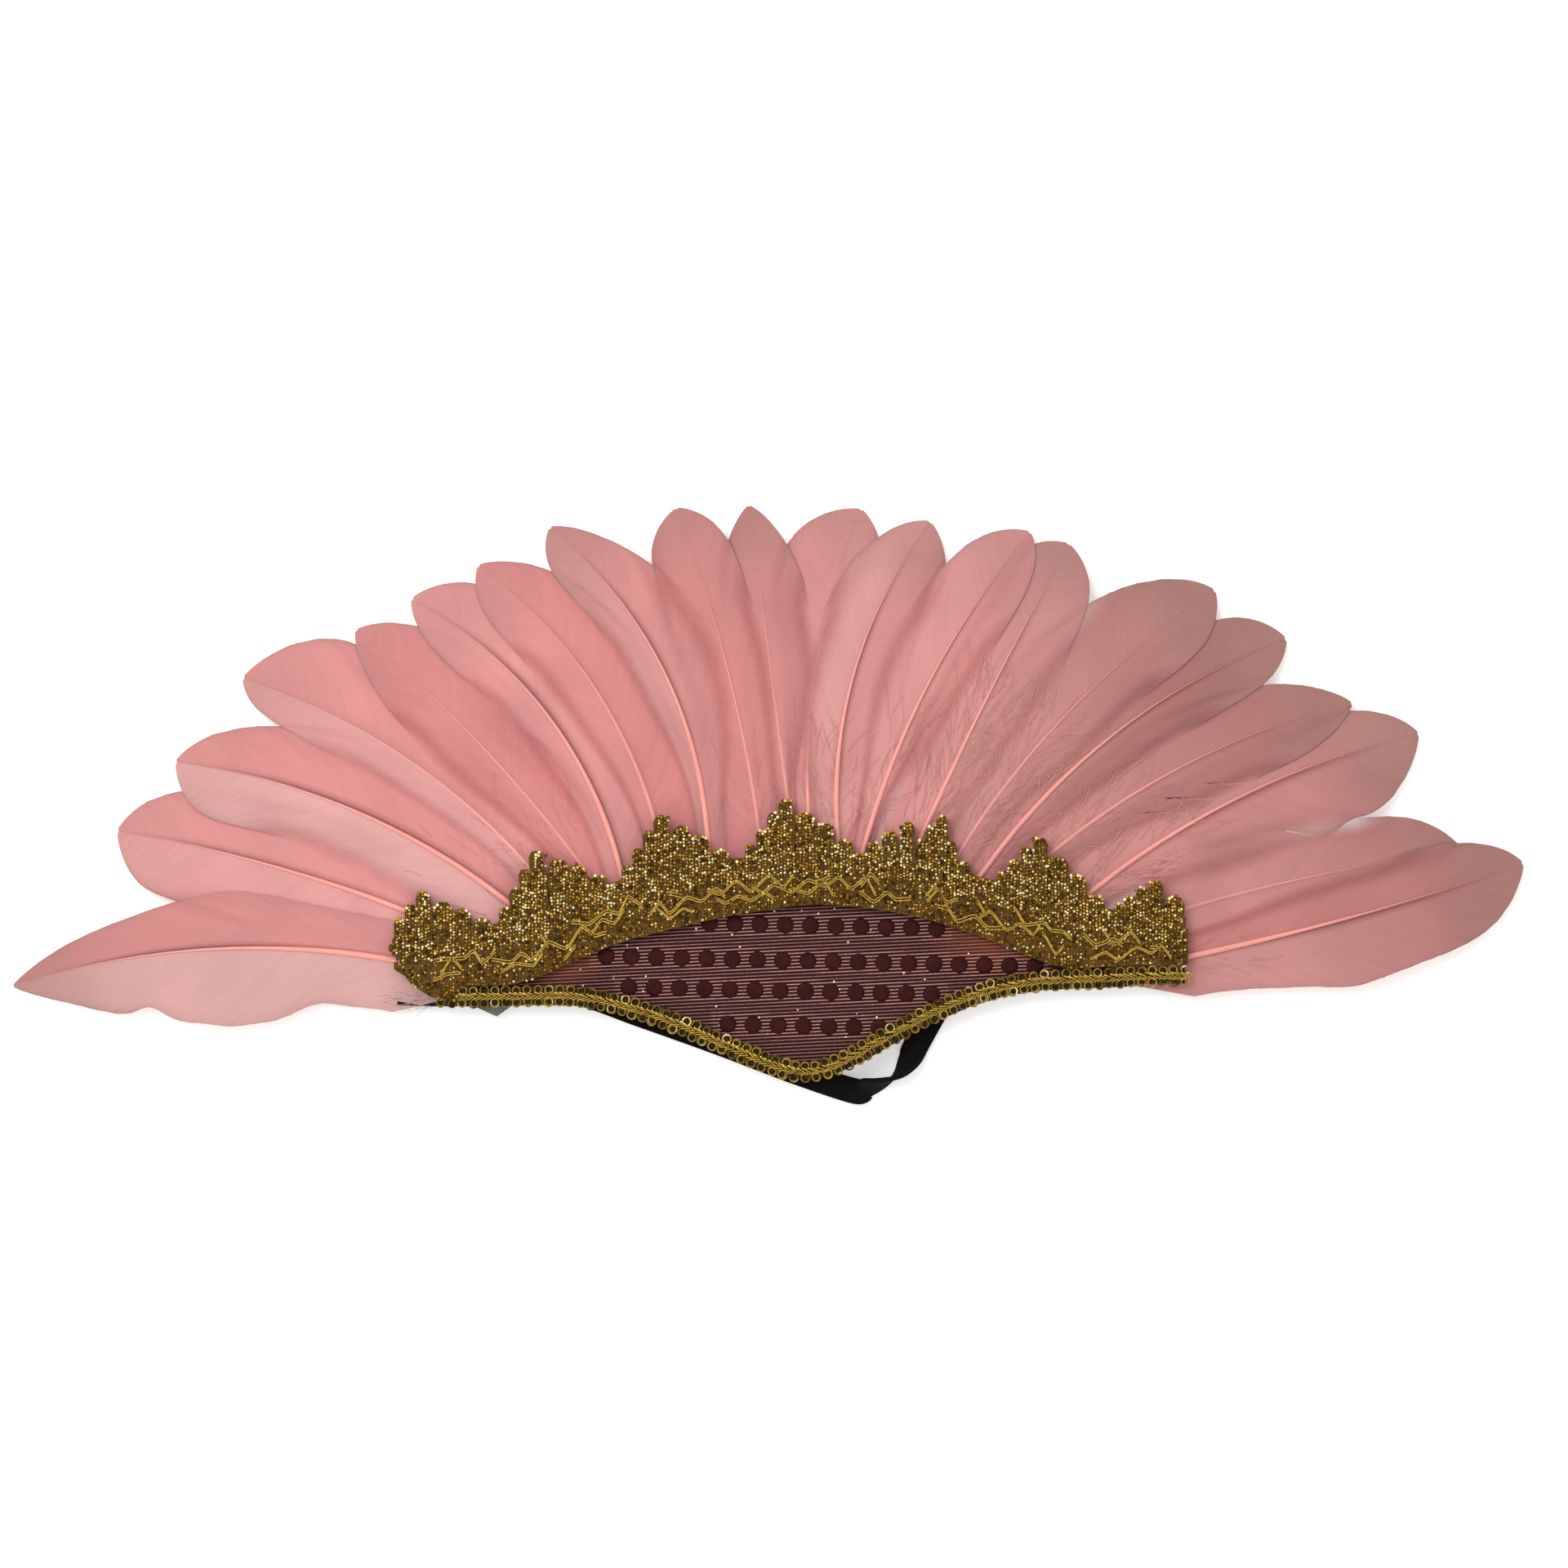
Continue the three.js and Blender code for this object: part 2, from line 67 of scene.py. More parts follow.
sky = bpy.data.worlds.new("sky")
sky.use_nodes = True
sky.node_tree.nodes["Background"].inputs["Color"].default_value = (1.0, 0.99, 0.985, 1)
sky.node_tree.nodes["Background"].inputs["Strength"].default_value = SKY_STRENGTH
bpy.context.scene.world = sky

lamp_data = bpy.data.lights.new("lamp", "AREA")
lamp_data.shape = "DISK"
lamp_data.size = LAMP_SIZE
lamp_data.energy = LAMP_WATTS
lamp_data.color = (1.0, 0.985, 0.96)
lamp = bpy.data.objects.new("lamp", lamp_data)
lamp.location = LAMP_PLACE
lamp.rotation_euler = (-LAMP_PLACE).to_track_quat("-Z", "Y").to_euler()
bpy.context.collection.objects.link(lamp)


def linear(red, green, blue):
    """A colour given in 0 to 255 as the shader wants it."""
    def channel(value):
        share = value / 255
        return share / 12.92 if share <= 0.04045 else ((share + 0.055) / 1.055) ** 2.4
    return (channel(red), channel(green), channel(blue), 1.0)


def new_material(name, **settings):
    """A material whose Principled BSDF has these plain values."""
    material = bpy.data.materials.new(name)
    material.use_nodes = True
    shader = material.node_tree.nodes["Principled BSDF"]
    for socket, value in settings.items():
        shader.inputs[socket.replace("_", " ")].default_value = value
    return material, shader


def node(tree, kind, inputs=None, **settings):
    """A shader or geometry node with its settings, and values or links on its inputs."""
    made = tree.nodes.new(kind)
    for key, value in settings.items():
        setattr(made, key, value)
    for key, value in (inputs or {}).items():
        if isinstance(value, bpy.types.NodeSocket):
            tree.links.new(value, made.inputs[key])
        else:
            made.inputs[key].default_value = value
    return made


def mix_colours(tree, share, first, second, blend="MIX"):
    """The colour between two colours, each a value or a link."""
    mixer = node(tree, "ShaderNodeMix", data_type="RGBA", blend_type=blend)
    factor, a, b = mixer.inputs[0], mixer.inputs[6], mixer.inputs[7]
    for socket, value in ((factor, share), (a, first), (b, second)):
        if isinstance(value, bpy.types.NodeSocket):
            tree.links.new(value, socket)
        else:
            socket.default_value = value
    return mixer.outputs[2]


def calculate(tree, operation, *values, clamp=False):
    """A math node's result."""
    inputs = dict(enumerate(values))
    return node(tree, "ShaderNodeMath", inputs, operation=operation, use_clamp=clamp).outputs[0]


def noise_at(tree, place, scale, detail=2.0, distortion=0.0):
    """Noise between 0 and 1 at a place, its scale in repeats per metre."""
    inputs = {"Vector": place, "Scale": scale, "Detail": detail, "Distortion": distortion}
    return node(tree, "ShaderNodeTexNoise", inputs).outputs["Fac"]


def object_place(tree):
    """The Object coordinates."""
    return node(tree, "ShaderNodeTexCoord").outputs["Object"]


def grey_level(tree, value):
    """A value as a grey colour, to multiply another colour by."""
    return node(tree, "ShaderNodeCombineXYZ", {"X": value, "Y": value, "Z": value}).outputs[0]


def add_relief(tree, shader, height, strength, depth=0.2 * MM):
    """Bumps the shader's surface by a height, and returns the normal."""
    settings = {"Height": height, "Strength": strength, "Distance": depth}
    normal = node(tree, "ShaderNodeBump", settings).outputs["Normal"]
    tree.links.new(normal, shader.inputs["Normal"])
    return normal


def mesh_object(name, vertices, faces, materials, smooth=True):
    """A mesh object in the scene, its vertices given in millimetres."""
    mesh = bpy.data.meshes.new(name)
    mesh.from_pydata((np.asarray(vertices) * MM).tolist(), [], [tuple(map(int, f)) for f in faces])
    for material in materials:
        mesh.materials.append(material)
    mesh.polygons.foreach_set("use_smooth", [smooth] * len(mesh.polygons))
    obj = bpy.data.objects.new(name, mesh)
    bpy.context.collection.objects.link(obj)
    return obj


FLOOR_HALF = 2000
FLOOR_HEIGHT = -0.1
FLOOR_GLOW = 0.3
floor_paint, floor_shader = new_material(
    "white_table", Roughness=0.9, Emission_Color=(1.0, 1.0, 1.0, 1.0), Emission_Strength=FLOOR_GLOW
)
floor_tree = floor_paint.node_tree
floor_grain = node(floor_tree, "ShaderNodeTexNoise", {"Scale": 40.0, "Detail": 4.0})
floor_tree.links.new(
    mix_colours(floor_tree, floor_grain.outputs["Fac"], linear(247, 246, 243), linear(252, 251, 248)),
    floor_shader.inputs["Base Color"],
)
floor_corners = [
    (x * FLOOR_HALF, y * FLOOR_HALF, FLOOR_HEIGHT) for x, y in ((-1, -1), (1, -1), (1, 1), (-1, 1))
]
floor = mesh_object("table", floor_corners, [(0, 1, 2, 3)], [floor_paint])

# The base: stiff felt plate
# A cut plate of black felt a couple of millimetres thick, to which everything else is sewn and glued. Its
# edge shows as a thin dark line along the hem. It keeps its CAD solid and gets matted wool fibres.
BASE_EDGES = (
    # x, hem, brow (the lower edge of the lace), valley (the line between the crowns)
    (-74.0, -40.0, -32.6, -27.6),
    (-68.0, -40.2, -35.9, -27.0),
    (-61.4, -40.3, -36.0, -26.1),
    (-48.5, -40.1, -35.4, -22.5),
    (-38.8, -40.1, -31.4, -19.0),
    (-29.1, -41.9, -27.5, -15.5),
    (-19.5, -45.1, -25.0, -13.4),
    (-9.8, -49.3, -22.7, -11.8),
    (-0.2, -53.4, -21.1, -10.6),
    (7.1, -55.0, -20.1, -10.1),
    (14.3, -53.4, -20.2, -9.9),
    (24.0, -48.0, -21.4, -11.1),
    (33.7, -43.0, -23.7, -13.0),
    (43.3, -39.1, -26.9, -15.3),
    (53.0, -37.2, -30.9, -17.7),
    (58.1, -36.9, -32.6, -19.1),
    (65.9, -36.6, -32.3, -21.1),
    (73.9, -36.2, -31.9, -23.0),
    (83.0, -36.1, -31.8, -25.3),
)


def smooth_through(rows, column):
    """A smooth function of a table's first column through the values of another one."""
    xs = [row[0] for row in rows]
    ys = [row[column] for row in rows]

    def slope(i):
        a, b = max(0, i - 1), min(len(xs) - 1, i + 1)
        return (ys[b] - ys[a]) / (xs[b] - xs[a])

    def value(x):
        i = 0
        while i < len(xs) - 2 and x > xs[i + 1]:
            i += 1
        width = xs[i + 1] - xs[i]
        t = min(1.0, max(0.0, (x - xs[i]) / width))
        t2, t3 = t * t, t ** 3
        return (
            (2 * t3 - 3 * t2 + 1) * ys[i]
            + (t3 - 2 * t2 + t) * width * slope(i)
            + (3 * t2 - 2 * t3) * ys[i + 1]
            + (t3 - t2) * width * slope(i + 1)
        )
    return value


hem_at = smooth_through(BASE_EDGES, 1)
brow_at = smooth_through(BASE_EDGES, 2)
valley_at = smooth_through(BASE_EDGES, 3)

# Matted fibres, for the felt and the elastic: a value that lightens the threads and a height for the bump
fibres = bpy.data.node_groups.new("matted_fibres", "ShaderNodeTree")
fibres.interface.new_socket("Fibre size", in_out="INPUT", socket_type="NodeSocketFloat")
fibres.interface.new_socket("Lightness", in_out="OUTPUT", socket_type="NodeSocketFloat")
fibres.interface.new_socket("Height", in_out="OUTPUT", socket_type="NodeSocketFloat")
fibres_in = fibres.nodes.new("NodeGroupInput")
fibres_out = fibres.nodes.new("NodeGroupOutput")
fibres_place = object_place(fibres)
fibres_scale = calculate(fibres, "DIVIDE", 1.0, fibres_in.outputs["Fibre size"])
fibres_fine = noise_at(fibres, fibres_place, fibres_scale, detail=5.0, distortion=1.5)
fibres_patches = noise_at(fibres, fibres_place, 160.0)
fibres.links.new(calculate(fibres, "MULTIPLY", fibres_fine, fibres_patches), fibres_out.inputs["Lightness"])
fibres.links.new(fibres_fine, fibres_out.inputs["Height"])


def fibre_material(name, dark, light, fibre_size, bump):
    """A matt material of short fibres between two colours."""
    material, shader = new_material(name, Roughness=0.95, Specular_IOR_Level=0.15)
    tree = material.node_tree
    group = node(tree, "ShaderNodeGroup", node_tree=fibres)
    group.inputs["Fibre size"].default_value = fibre_size
    share = calculate(tree, "MULTIPLY", group.outputs["Lightness"], 1.6, clamp=True)
    tree.links.new(mix_colours(tree, share, dark, light), shader.inputs["Base Color"])
    add_relief(tree, shader, group.outputs["Height"], bump)
    return material


felt = fibre_material("black_felt", linear(15, 11, 10), linear(62, 52, 48), 0.00035, 0.6)
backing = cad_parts["backing"]
backing.data.materials.clear()
backing.data.materials.append(felt)

# The lining corner
# A corner of the felt's thin grey lining, cut from stiff net. It is glued in behind the felt and hangs out
# under the hem, left of the middle.
LINING_CORNER = ((-58.6, -39.9), (-50.4, -39.9), (-53.6, -42.2))
LINING_HEIGHTS = (2.6, 2.8)

lining_net = fibre_material("grey_lining", linear(44, 44, 38), linear(168, 168, 156), 0.0004, 0.4)
lining_corner = mesh_object(
    "lining_corner",
    [(x, y, z) for z in LINING_HEIGHTS for x, y in LINING_CORNER],
    [(0, 1, 2), (5, 4, 3), (0, 3, 4, 1), (1, 4, 5, 2), (2, 5, 3, 0)],
    [lining_net],
    smooth=False,
)
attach(lining_corner, "root")

# The feathers
# Twenty curled goose feathers dyed pink, fanned out from under the lace. Each is a tapering quill with a
# web of barbs on both sides, slanting to the tip, torn here and there and a little frayed along the edge.
# In the rows the root is where the quill comes out of the lace, bow its bulge to the left seen from root to
# tip, ccw and cw the web's widths to its left and right, base their share at the root, ccwTip and cwTip how
# blunt each side ends, twist the left edge's tilt in degrees, lift and tipLift the rises.
FEATHER_COLUMNS = (
    "rootX", "rootY", "tipX", "tipY", "bow", "ccw", "cw", "base",
    "ccwTip", "cwTip", "twist", "lift", "tipLift",
)
FEATHER_ROWS = (
    (-72.6, -31.2, -149.3, -36.2, -4.8, 16.0, 11.4, 0.65, 1.6, 1.4, -8, 1.2, 0),
    (-70.7, -21.7, -128.7, -5.5, -1.6, 12.0, 11.5, 0.5, 7.0, 5.0, 0, -2.5, 0.6),
    (-51.4, -19.6, -117.2, 8.1, -4.9, 10.2, 12.8, 0.6, 12.0, 3.4, 7, -0.3, 0.4),
    (-47.2, -12.7, -103.9, 24.6, -4.6, 6.8, 16.5, 0.6, 9.0, 3.8, 7, -0.6, 0),
    (-37.5, -11.6, -81.5, 34.1, -2.1, 9.0, 12.0, 0.5, 3.5, 4.0, 8, 0.9, 0.8),
    (-28.8, -14.8, -70.5, 40.3, -7.6, 7.0, 13.0, 0.6, 8.0, 4.6, 8, 1.4, 0.4),
    (-22.2, -4.3, -57.3, 46.9, -5.3, 8.0, 12.0, 0.5, 8.0, 2.8, 8, 2.1, 0.6),
    (-12.1, -6.3, -43.2, 54.4, -7.1, 6.8, 12.0, 0.35, 12.0, 2.3, 0, 3.6, 0.5),
    (-2.1, -3.5, -18.2, 58.3, -1.7, 9.0, 8.4, 0.6, 9.0, 6.5, -9, 0, 0),
    (3.9, -0.3, -3.9, 58.8, 0.0, 9.5, 9.5, 0.2, 3.0, 3.4, -9, 0, 0),
    (7.9, -2.7, 18.4, 58.1, 3.5, 12.5, 9.0, 0.2, 5.6, 6.0, -2, -2.4, 0),
    (13.7, -8.4, 32.0, 55.6, 6.3, 9.6, 9.5, 0.5, 5.0, 9.0, 9, 0, 0),
    (18.8, -8.9, 51.7, 53.5, 3.9, 10.5, 7.5, 0.25, 5.2, 8.0, 0, 2.0, 0),
    (31.2, -4.3, 59.4, 51.2, 0.8, 8.5, 10.5, 0.5, 11.0, 7.0, -8, 0.6, 0),
    (39.0, -7.6, 88.2, 42.0, 3.7, 13.5, 8.5, 0.5, 3.8, 9.0, -8, 0.6, 0),
    (43.8, -11.6, 102.3, 32.4, 5.5, 10.0, 8.0, 0.5, 6.5, 9.0, -8, 0.2, 0),
    (55.4, -10.3, 115.3, 19.6, 4.0, 10.0, 9.0, 0.5, 3.2, 4.0, -8, -0.5, 1.2),
    (62.6, -18.4, 128.5, 13.7, 4.3, 10.0, 14.0, 0.4, 4.6, 6.0, -7, -1.9, 0.4),
    (82.0, -20.9, 137.0, -9.2, 1.0, 10.0, 8.0, 0.4, 3.8, 3.8, 0, -2.6, 0.4),
    (82.3, -30.4, 149.1, -11.9, -1.1, 9.0, 13.0, 0.6, 6.0, 4.2, -4, -0.5, 0.3),
)
# How each was dyed and lies: the depth of pink left and right of the quill from 0 pale to 1 deep, how far
# it goes to grey brown, how much of the quill stands out of the web and how dark its painted shadow line is,
# and which side is tucked under its neighbour and stays wide down to the lace: 1 left, -1 right, 2 both, 0
# none
LOOK_COLUMNS = ("ccwTone", "cwTone", "grey", "crisp", "tucked")
LOOK_ROWS = (
    (0.06, 0.80, 0.30, 1.0, 0),
    (0.55, 0.78, 0.02, 0.8, 2),
    (0.32, 0.85, 0.04, 1.0, 2),
    (0.55, 0.80, 0.02, 0.2, -1),
    (0.95, 0.95, 0.04, 0.1, -1),
    (0.75, 0.75, 0.02, 1.0, -1),
    (0.85, 0.95, 0.08, 0.3, -1),
    (0.60, 0.80, 0.20, 0.9, 0),
    (0.90, 0.90, 0.24, 0.2, 1),
    (0.85, 0.85, 0.32, 0.1, 1),
    (0.75, 0.70, 0.14, 0.3, 2),
    (0.55, 0.70, 0.20, 0.9, -1),
    (0.65, 0.80, 0.14, 0.8, 0),
    (0.65, 0.65, 0.35, 0.6, 1),
    (0.60, 0.65, 0.75, 0.3, 1),
    (0.70, 0.75, 0.95, 1.0, 1),
    (0.65, 0.65, 0.88, 0.5, 1),
    (0.65, 0.70, 0.62, 0.9, 1),
    (0.65, 0.65, 0.80, 0.2, 2),
    (0.95, 0.55, 0.80, 1.0, 0),
)
PALE_PINK = np.array(linear(234, 188, 184)[:3])
DEEP_PINK = np.array(linear(221, 138, 137)[:3])
GREY_PINK = np.array(linear(172, 112, 106)[:3])
TIP_PINK = np.array(linear(168, 122, 115)[:3])
RIM_GREY = np.array(linear(142, 116, 106)[:3])
QUILL_PAINTED_SHADOW = np.array(linear(128, 58, 52)[:3])
QUILL_PINK = np.array(linear(240, 158, 148)[:3])
FEATHER_ARCH = ((0, 4.6), (0.16, 4.6), (0.45, 5.6), (0.75, 4.4), (1, 1.5))
RISES_OVER = (0.1, 0.35)
DROPS_OVER = (0.0, 0.16)
TIP_LIFTS_OVER = (0.6, 1.0)
FULL_WIDTH_FROM = 0.5
NARROWS_FROM = 0.4
TIP_POWER = 0.8
LIFT_FADES = 0.5  # shares of the lift and the twist that are gone at the tip
TWIST_FADES = 0.35
UNDER_LACE = 0.1  # share of a feather's length that the drawn web goes in under the lace
BARB_SLANT = 0.25  # how far a barb runs on towards the tip, as a share of the feather's length
SLANT_FADES_OVER = 0.4
BARB_CURVE = 1.25
BARB_PITCH = 0.62
BARBS_FROM = -UNDER_LACE - 0.6 * BARB_SLANT
BARBS_TO = 0.995
WEB_STATIONS = (0.0, 0.035, 0.075, 0.14, 0.24, 0.36, 0.48, 0.6, 0.71, 0.8, 0.87, 0.93, 0.97, 1.0)
WEB_THICKNESS = 0.1
WEB_DROOP = 0.3
WEB_GLOW = 0.22  # share of the translucent shader in the web
FRAY = 0.01
FRAY_ROWS = 9
FRAY_CLUMPS = 2.2  # how much the barbs fray in clumps, and each on its own
FRAY_SINGLES = 0.08
RIPPLE = 0.008
RIPPLE_ROWS = 25
EDGE_SWELL = 0.025
SWELLS = 2.3
SWELL_SHIFTS = (0.37, 0.2)  # from feather to feather and from side to side
TUCKED_BASE = 1.0
TUCKED_EXTRA = 1.12
TUCKED_OVER = (0.3, 0.7)
QUILL_RADIUS = ((0, 0.62), (0.15, 0.55), (0.35, 0.36), (0.6, 0.2), (0.8, 0.1), (1, 0.05))
QUILL_SIDES = 8
QUILL_STATIONS = 60
QUILL_TO = 0.985
QUILL_FLATNESS = 0.8
QUILL_SUNK_SIZE = 0.7  # the radius's share that a quill sunk in the web still shows
QUILL_RISE = 0.35
EDGE_SHEER = 0.95  # how far the web's loose edge, where it lies on the next feather, lets it show through
SHEER_OUT = (0.5, 1.0)
SHEER_ALONG = (0.62, 0.8)
OUTERMOST = (1, 20)
arch_at = smooth_through(FEATHER_ARCH, 1)
quill_radius_at = smooth_through(QUILL_RADIUS, 1)


def mixed(a, b, share):
    """The value a share of the way from a to b."""
    return a + (b - a) * share


def smoothstep(value, low, high):
    """0 below low, 1 above high and a smooth rise between."""
    t = np.clip((value - low) / (high - low), 0, 1)
    return t * t * (3 - 2 * t)


class Feather:
    """The surface of one feather of the table, in millimetres."""

    def __init__(self, values, tucked):
        self.row = dict(zip(FEATHER_COLUMNS, values))
        self.tucked = {1: (1,), -1: (-1,), 2: (1, -1), 0: ()}[tucked]
        row = self.row
        self.root = np.array([row["rootX"], row["rootY"]])
        self.tip = np.array([row["tipX"], row["tipY"]])
        chord = self.tip - self.root
        self.length = float(np.hypot(*chord))
        left = np.array([-chord[1], chord[0]]) / self.length
        self.middle = (self.root + self.tip) / 2 + left * 2 * row["bow"]

    def quill(self, along):
        """The quill's centre and direction at a share of its length, straight on under the lace."""
        t = max(0.0, along)
        place = (1 - t) ** 2 * self.root + 2 * t * (1 - t) * self.middle + t * t * self.tip
        ahead = 2 * (1 - t) * (self.middle - self.root) + 2 * t * (self.tip - self.middle)
        ahead = ahead / np.hypot(*ahead)
        if along < 0:
            place = self.root + ahead * along * self.length
        return place, ahead

    def height(self, along):
        """The quill's height over the table."""
        row = self.row
        over = DROPS_OVER if row["lift"] < 0 else RISES_OVER
        rise = row["lift"] * smoothstep(along, *over) * (1 - LIFT_FADES * max(0.0, along))
        return arch_at(along) + rise + row["tipLift"] * smoothstep(along, *TIP_LIFTS_OVER)

    def width(self, along, side):
        """The web's width to the left (side 1) or right (side -1)."""
        row = self.row
        full, blunt = (row["ccw"], row["ccwTip"]) if side > 0 else (row["cw"], row["cwTip"])
        base = row["base"]
        if side in self.tucked:
            base = TUCKED_BASE
            full *= mixed(TUCKED_EXTRA, 1.0, smoothstep(along, *TUCKED_OVER))
        opened = base + (1 - base) * smoothstep(along, 0, FULL_WIDTH_FROM)
        s = max(0.0, (along - NARROWS_FROM) / (1 - NARROWS_FROM))
        return full * opened * (1 - min(1.0, s) ** blunt) ** TIP_POWER

    def point(self, along, side, out, droop=0.0):
        """The place out from the quill by a share of the web's width on one side."""
        place, ahead = self.quill(along)
        left = np.array([-ahead[1], ahead[0]])
        twist = math.radians(self.row["twist"]) * (1 - TWIST_FADES * max(0.0, along))
        reach = side * out * self.width(along, side)
        flat = place + left * reach * math.cos(twist)
        return (flat[0], flat[1], self.height(along) + reach * math.sin(twist) - droop)


feather_web, web_shader = new_material("dyed_feather_web", Roughness=0.72, Sheen_Weight=0.15)
web_tree = feather_web.node_tree
web_dye = node(web_tree, "ShaderNodeAttribute", attribute_name="tint")
web_tint = web_dye.outputs["Color"]
web_uv = node(web_tree, "ShaderNodeUVMap", uv_map="barbs").outputs["UV"]


def barb_noise(tree, uv, across, along, detail):
    """Noise drawn out along the barbs: the two scales are in repeats per centimetre."""
    place = node(tree, "ShaderNodeMapping", {"Vector": uv, "Scale": (across, along, 1.0)}).outputs["Vector"]
    return noise_at(tree, place, 1.0, detail)


web_fine = barb_noise(web_tree, web_uv, 26.0, 0.8, 3.0)
web_clumps = barb_noise(web_tree, web_uv, 5.0, 0.6, 2.0)
web_blotches = noise_at(web_tree, object_place(web_tree), 55.0, detail=1.0)
web_light = calculate(web_tree, "MULTIPLY_ADD", web_fine, 0.1, 0.95)
for web_change, web_change_from, web_change_by in ((web_clumps, 0.92, 0.16), (web_blotches, 0.85, 0.3)):
    web_factor = calculate(web_tree, "MULTIPLY_ADD", web_change, web_change_by, web_change_from)
    web_light = calculate(web_tree, "MULTIPLY", web_light, web_factor)
web_colour = mix_colours(web_tree, 1.0, web_tint, grey_level(web_tree, web_light), "MULTIPLY")
web_tree.links.new(web_colour, web_shader.inputs["Base Color"])
web_height = calculate(web_tree, "MULTIPLY_ADD", web_clumps, 1.5, web_fine)
web_normal = add_relief(web_tree, web_shader, web_height, 0.3)
# Light comes through the thin web, and its loose edge is sheer
web_glow = node(web_tree, "ShaderNodeBsdfTranslucent", {"Color": web_colour, "Normal": web_normal})
web_mix = node(
    web_tree, "ShaderNodeMixShader", {0: WEB_GLOW, 1: web_shader.outputs["BSDF"], 2: web_glow.outputs["BSDF"]}
)
web_clear = node(web_tree, "ShaderNodeBsdfTransparent")
web_sheer = node(
    web_tree,
    "ShaderNodeMixShader",
    {0: web_dye.outputs["Alpha"], 1: web_clear.outputs["BSDF"], 2: web_mix.outputs["Shader"]},
)
web_tree.links.new(web_sheer.outputs["Shader"], web_tree.nodes["Material Output"].inputs["Surface"])

feather_quill, quill_shader = new_material("dyed_feather_quill", Roughness=0.42)
quill_tree = feather_quill.node_tree
quill_tint = node(quill_tree, "ShaderNodeAttribute", attribute_name="tint").outputs["Color"]
quill_uv = node(quill_tree, "ShaderNodeUVMap", uv_map="barbs").outputs["UV"]
quill_streaks = barb_noise(quill_tree, quill_uv, 3.0, 30.0, 2.0)
quill_light = calculate(quill_tree, "MULTIPLY_ADD", quill_streaks, 0.25, 0.87)
quill_colour = mix_colours(quill_tree, 1.0, quill_tint, grey_level(quill_tree, quill_light), "MULTIPLY")
quill_tree.links.new(quill_colour, quill_shader.inputs["Base Color"])
add_relief(quill_tree, quill_shader, quill_streaks, 0.3)


# Where a web is torn open: feather, side (1 left, -1 right), share of the length, share of the width from
# which it is open, and the gap at the edge in millimetres
TORN_ROWS = (
    (17, -1, 0.16, 0.5, 0.35),
    (17, -1, 0.27, 0.45, 0.45),
    (17, -1, 0.38, 0.5, 0.35),
    (18, -1, 0.4, 0.7, 0.3),
)
# Where the edge is worn back: feather, side, share of the length, depth in millimetres, reach along the edge
WORN_ROWS = (
    (1, 1, 0.66, 2.0, 0.05),
    (1, 1, 0.2, 1.2, 0.08),
    (3, 1, 0.4, 1.0, 0.06),
    (14, -1, 0.5, 0.8, 0.05),
    (14, -1, 0.36, 0.6, 0.04),
    (18, -1, 0.75, 0.8, 0.05),
)
TEAR_REACH = 5  # barbs on each side of a tear that it pulls along


def dyed(look, side, along, out):
    """The web's colour on one side, a share along the quill and out from it, grey brown towards the tip."""
    grey = look["grey"]
    colour = mixed(PALE_PINK, DEEP_PINK, look["ccwTone"] if side > 0 else look["cwTone"])
    colour = mixed(colour, GREY_PINK, grey * (0.55 + 0.45 * smoothstep(along, 0.1, 0.8)))
    colour = mixed(colour, TIP_PINK, min(0.85, 0.25 + 1.3 * grey) * smoothstep(along, 0.65, 1.0))
    colour = mixed(colour, TIP_PINK, 0.2 * smoothstep(out, 0.75, 1.0))
    colour = mixed(colour, RIM_GREY, 0.25 * smoothstep(out, 0.92, 1.0) * smoothstep(along, 0.45, 0.8))
    # On the right side a painted shadow line runs beside the quill, darker the more the quill stands out
    if side < 0:
        beside_quill = smoothstep(out, 0.0, 0.03) * (1 - smoothstep(out, 0.04, 0.1))
        shade = 0.8 * look["crisp"] * beside_quill * (1 - smoothstep(along, 0.6, 1.0))
        colour = mixed(colour, QUILL_PAINTED_SHADOW, shade)
    return colour


def smoothed_noise(dice, count, kernel):
    """A row of random values, each blended with its neighbours."""
    return np.convolve(dice.normal(0, 1, count + len(kernel) - 1), kernel, "valid")


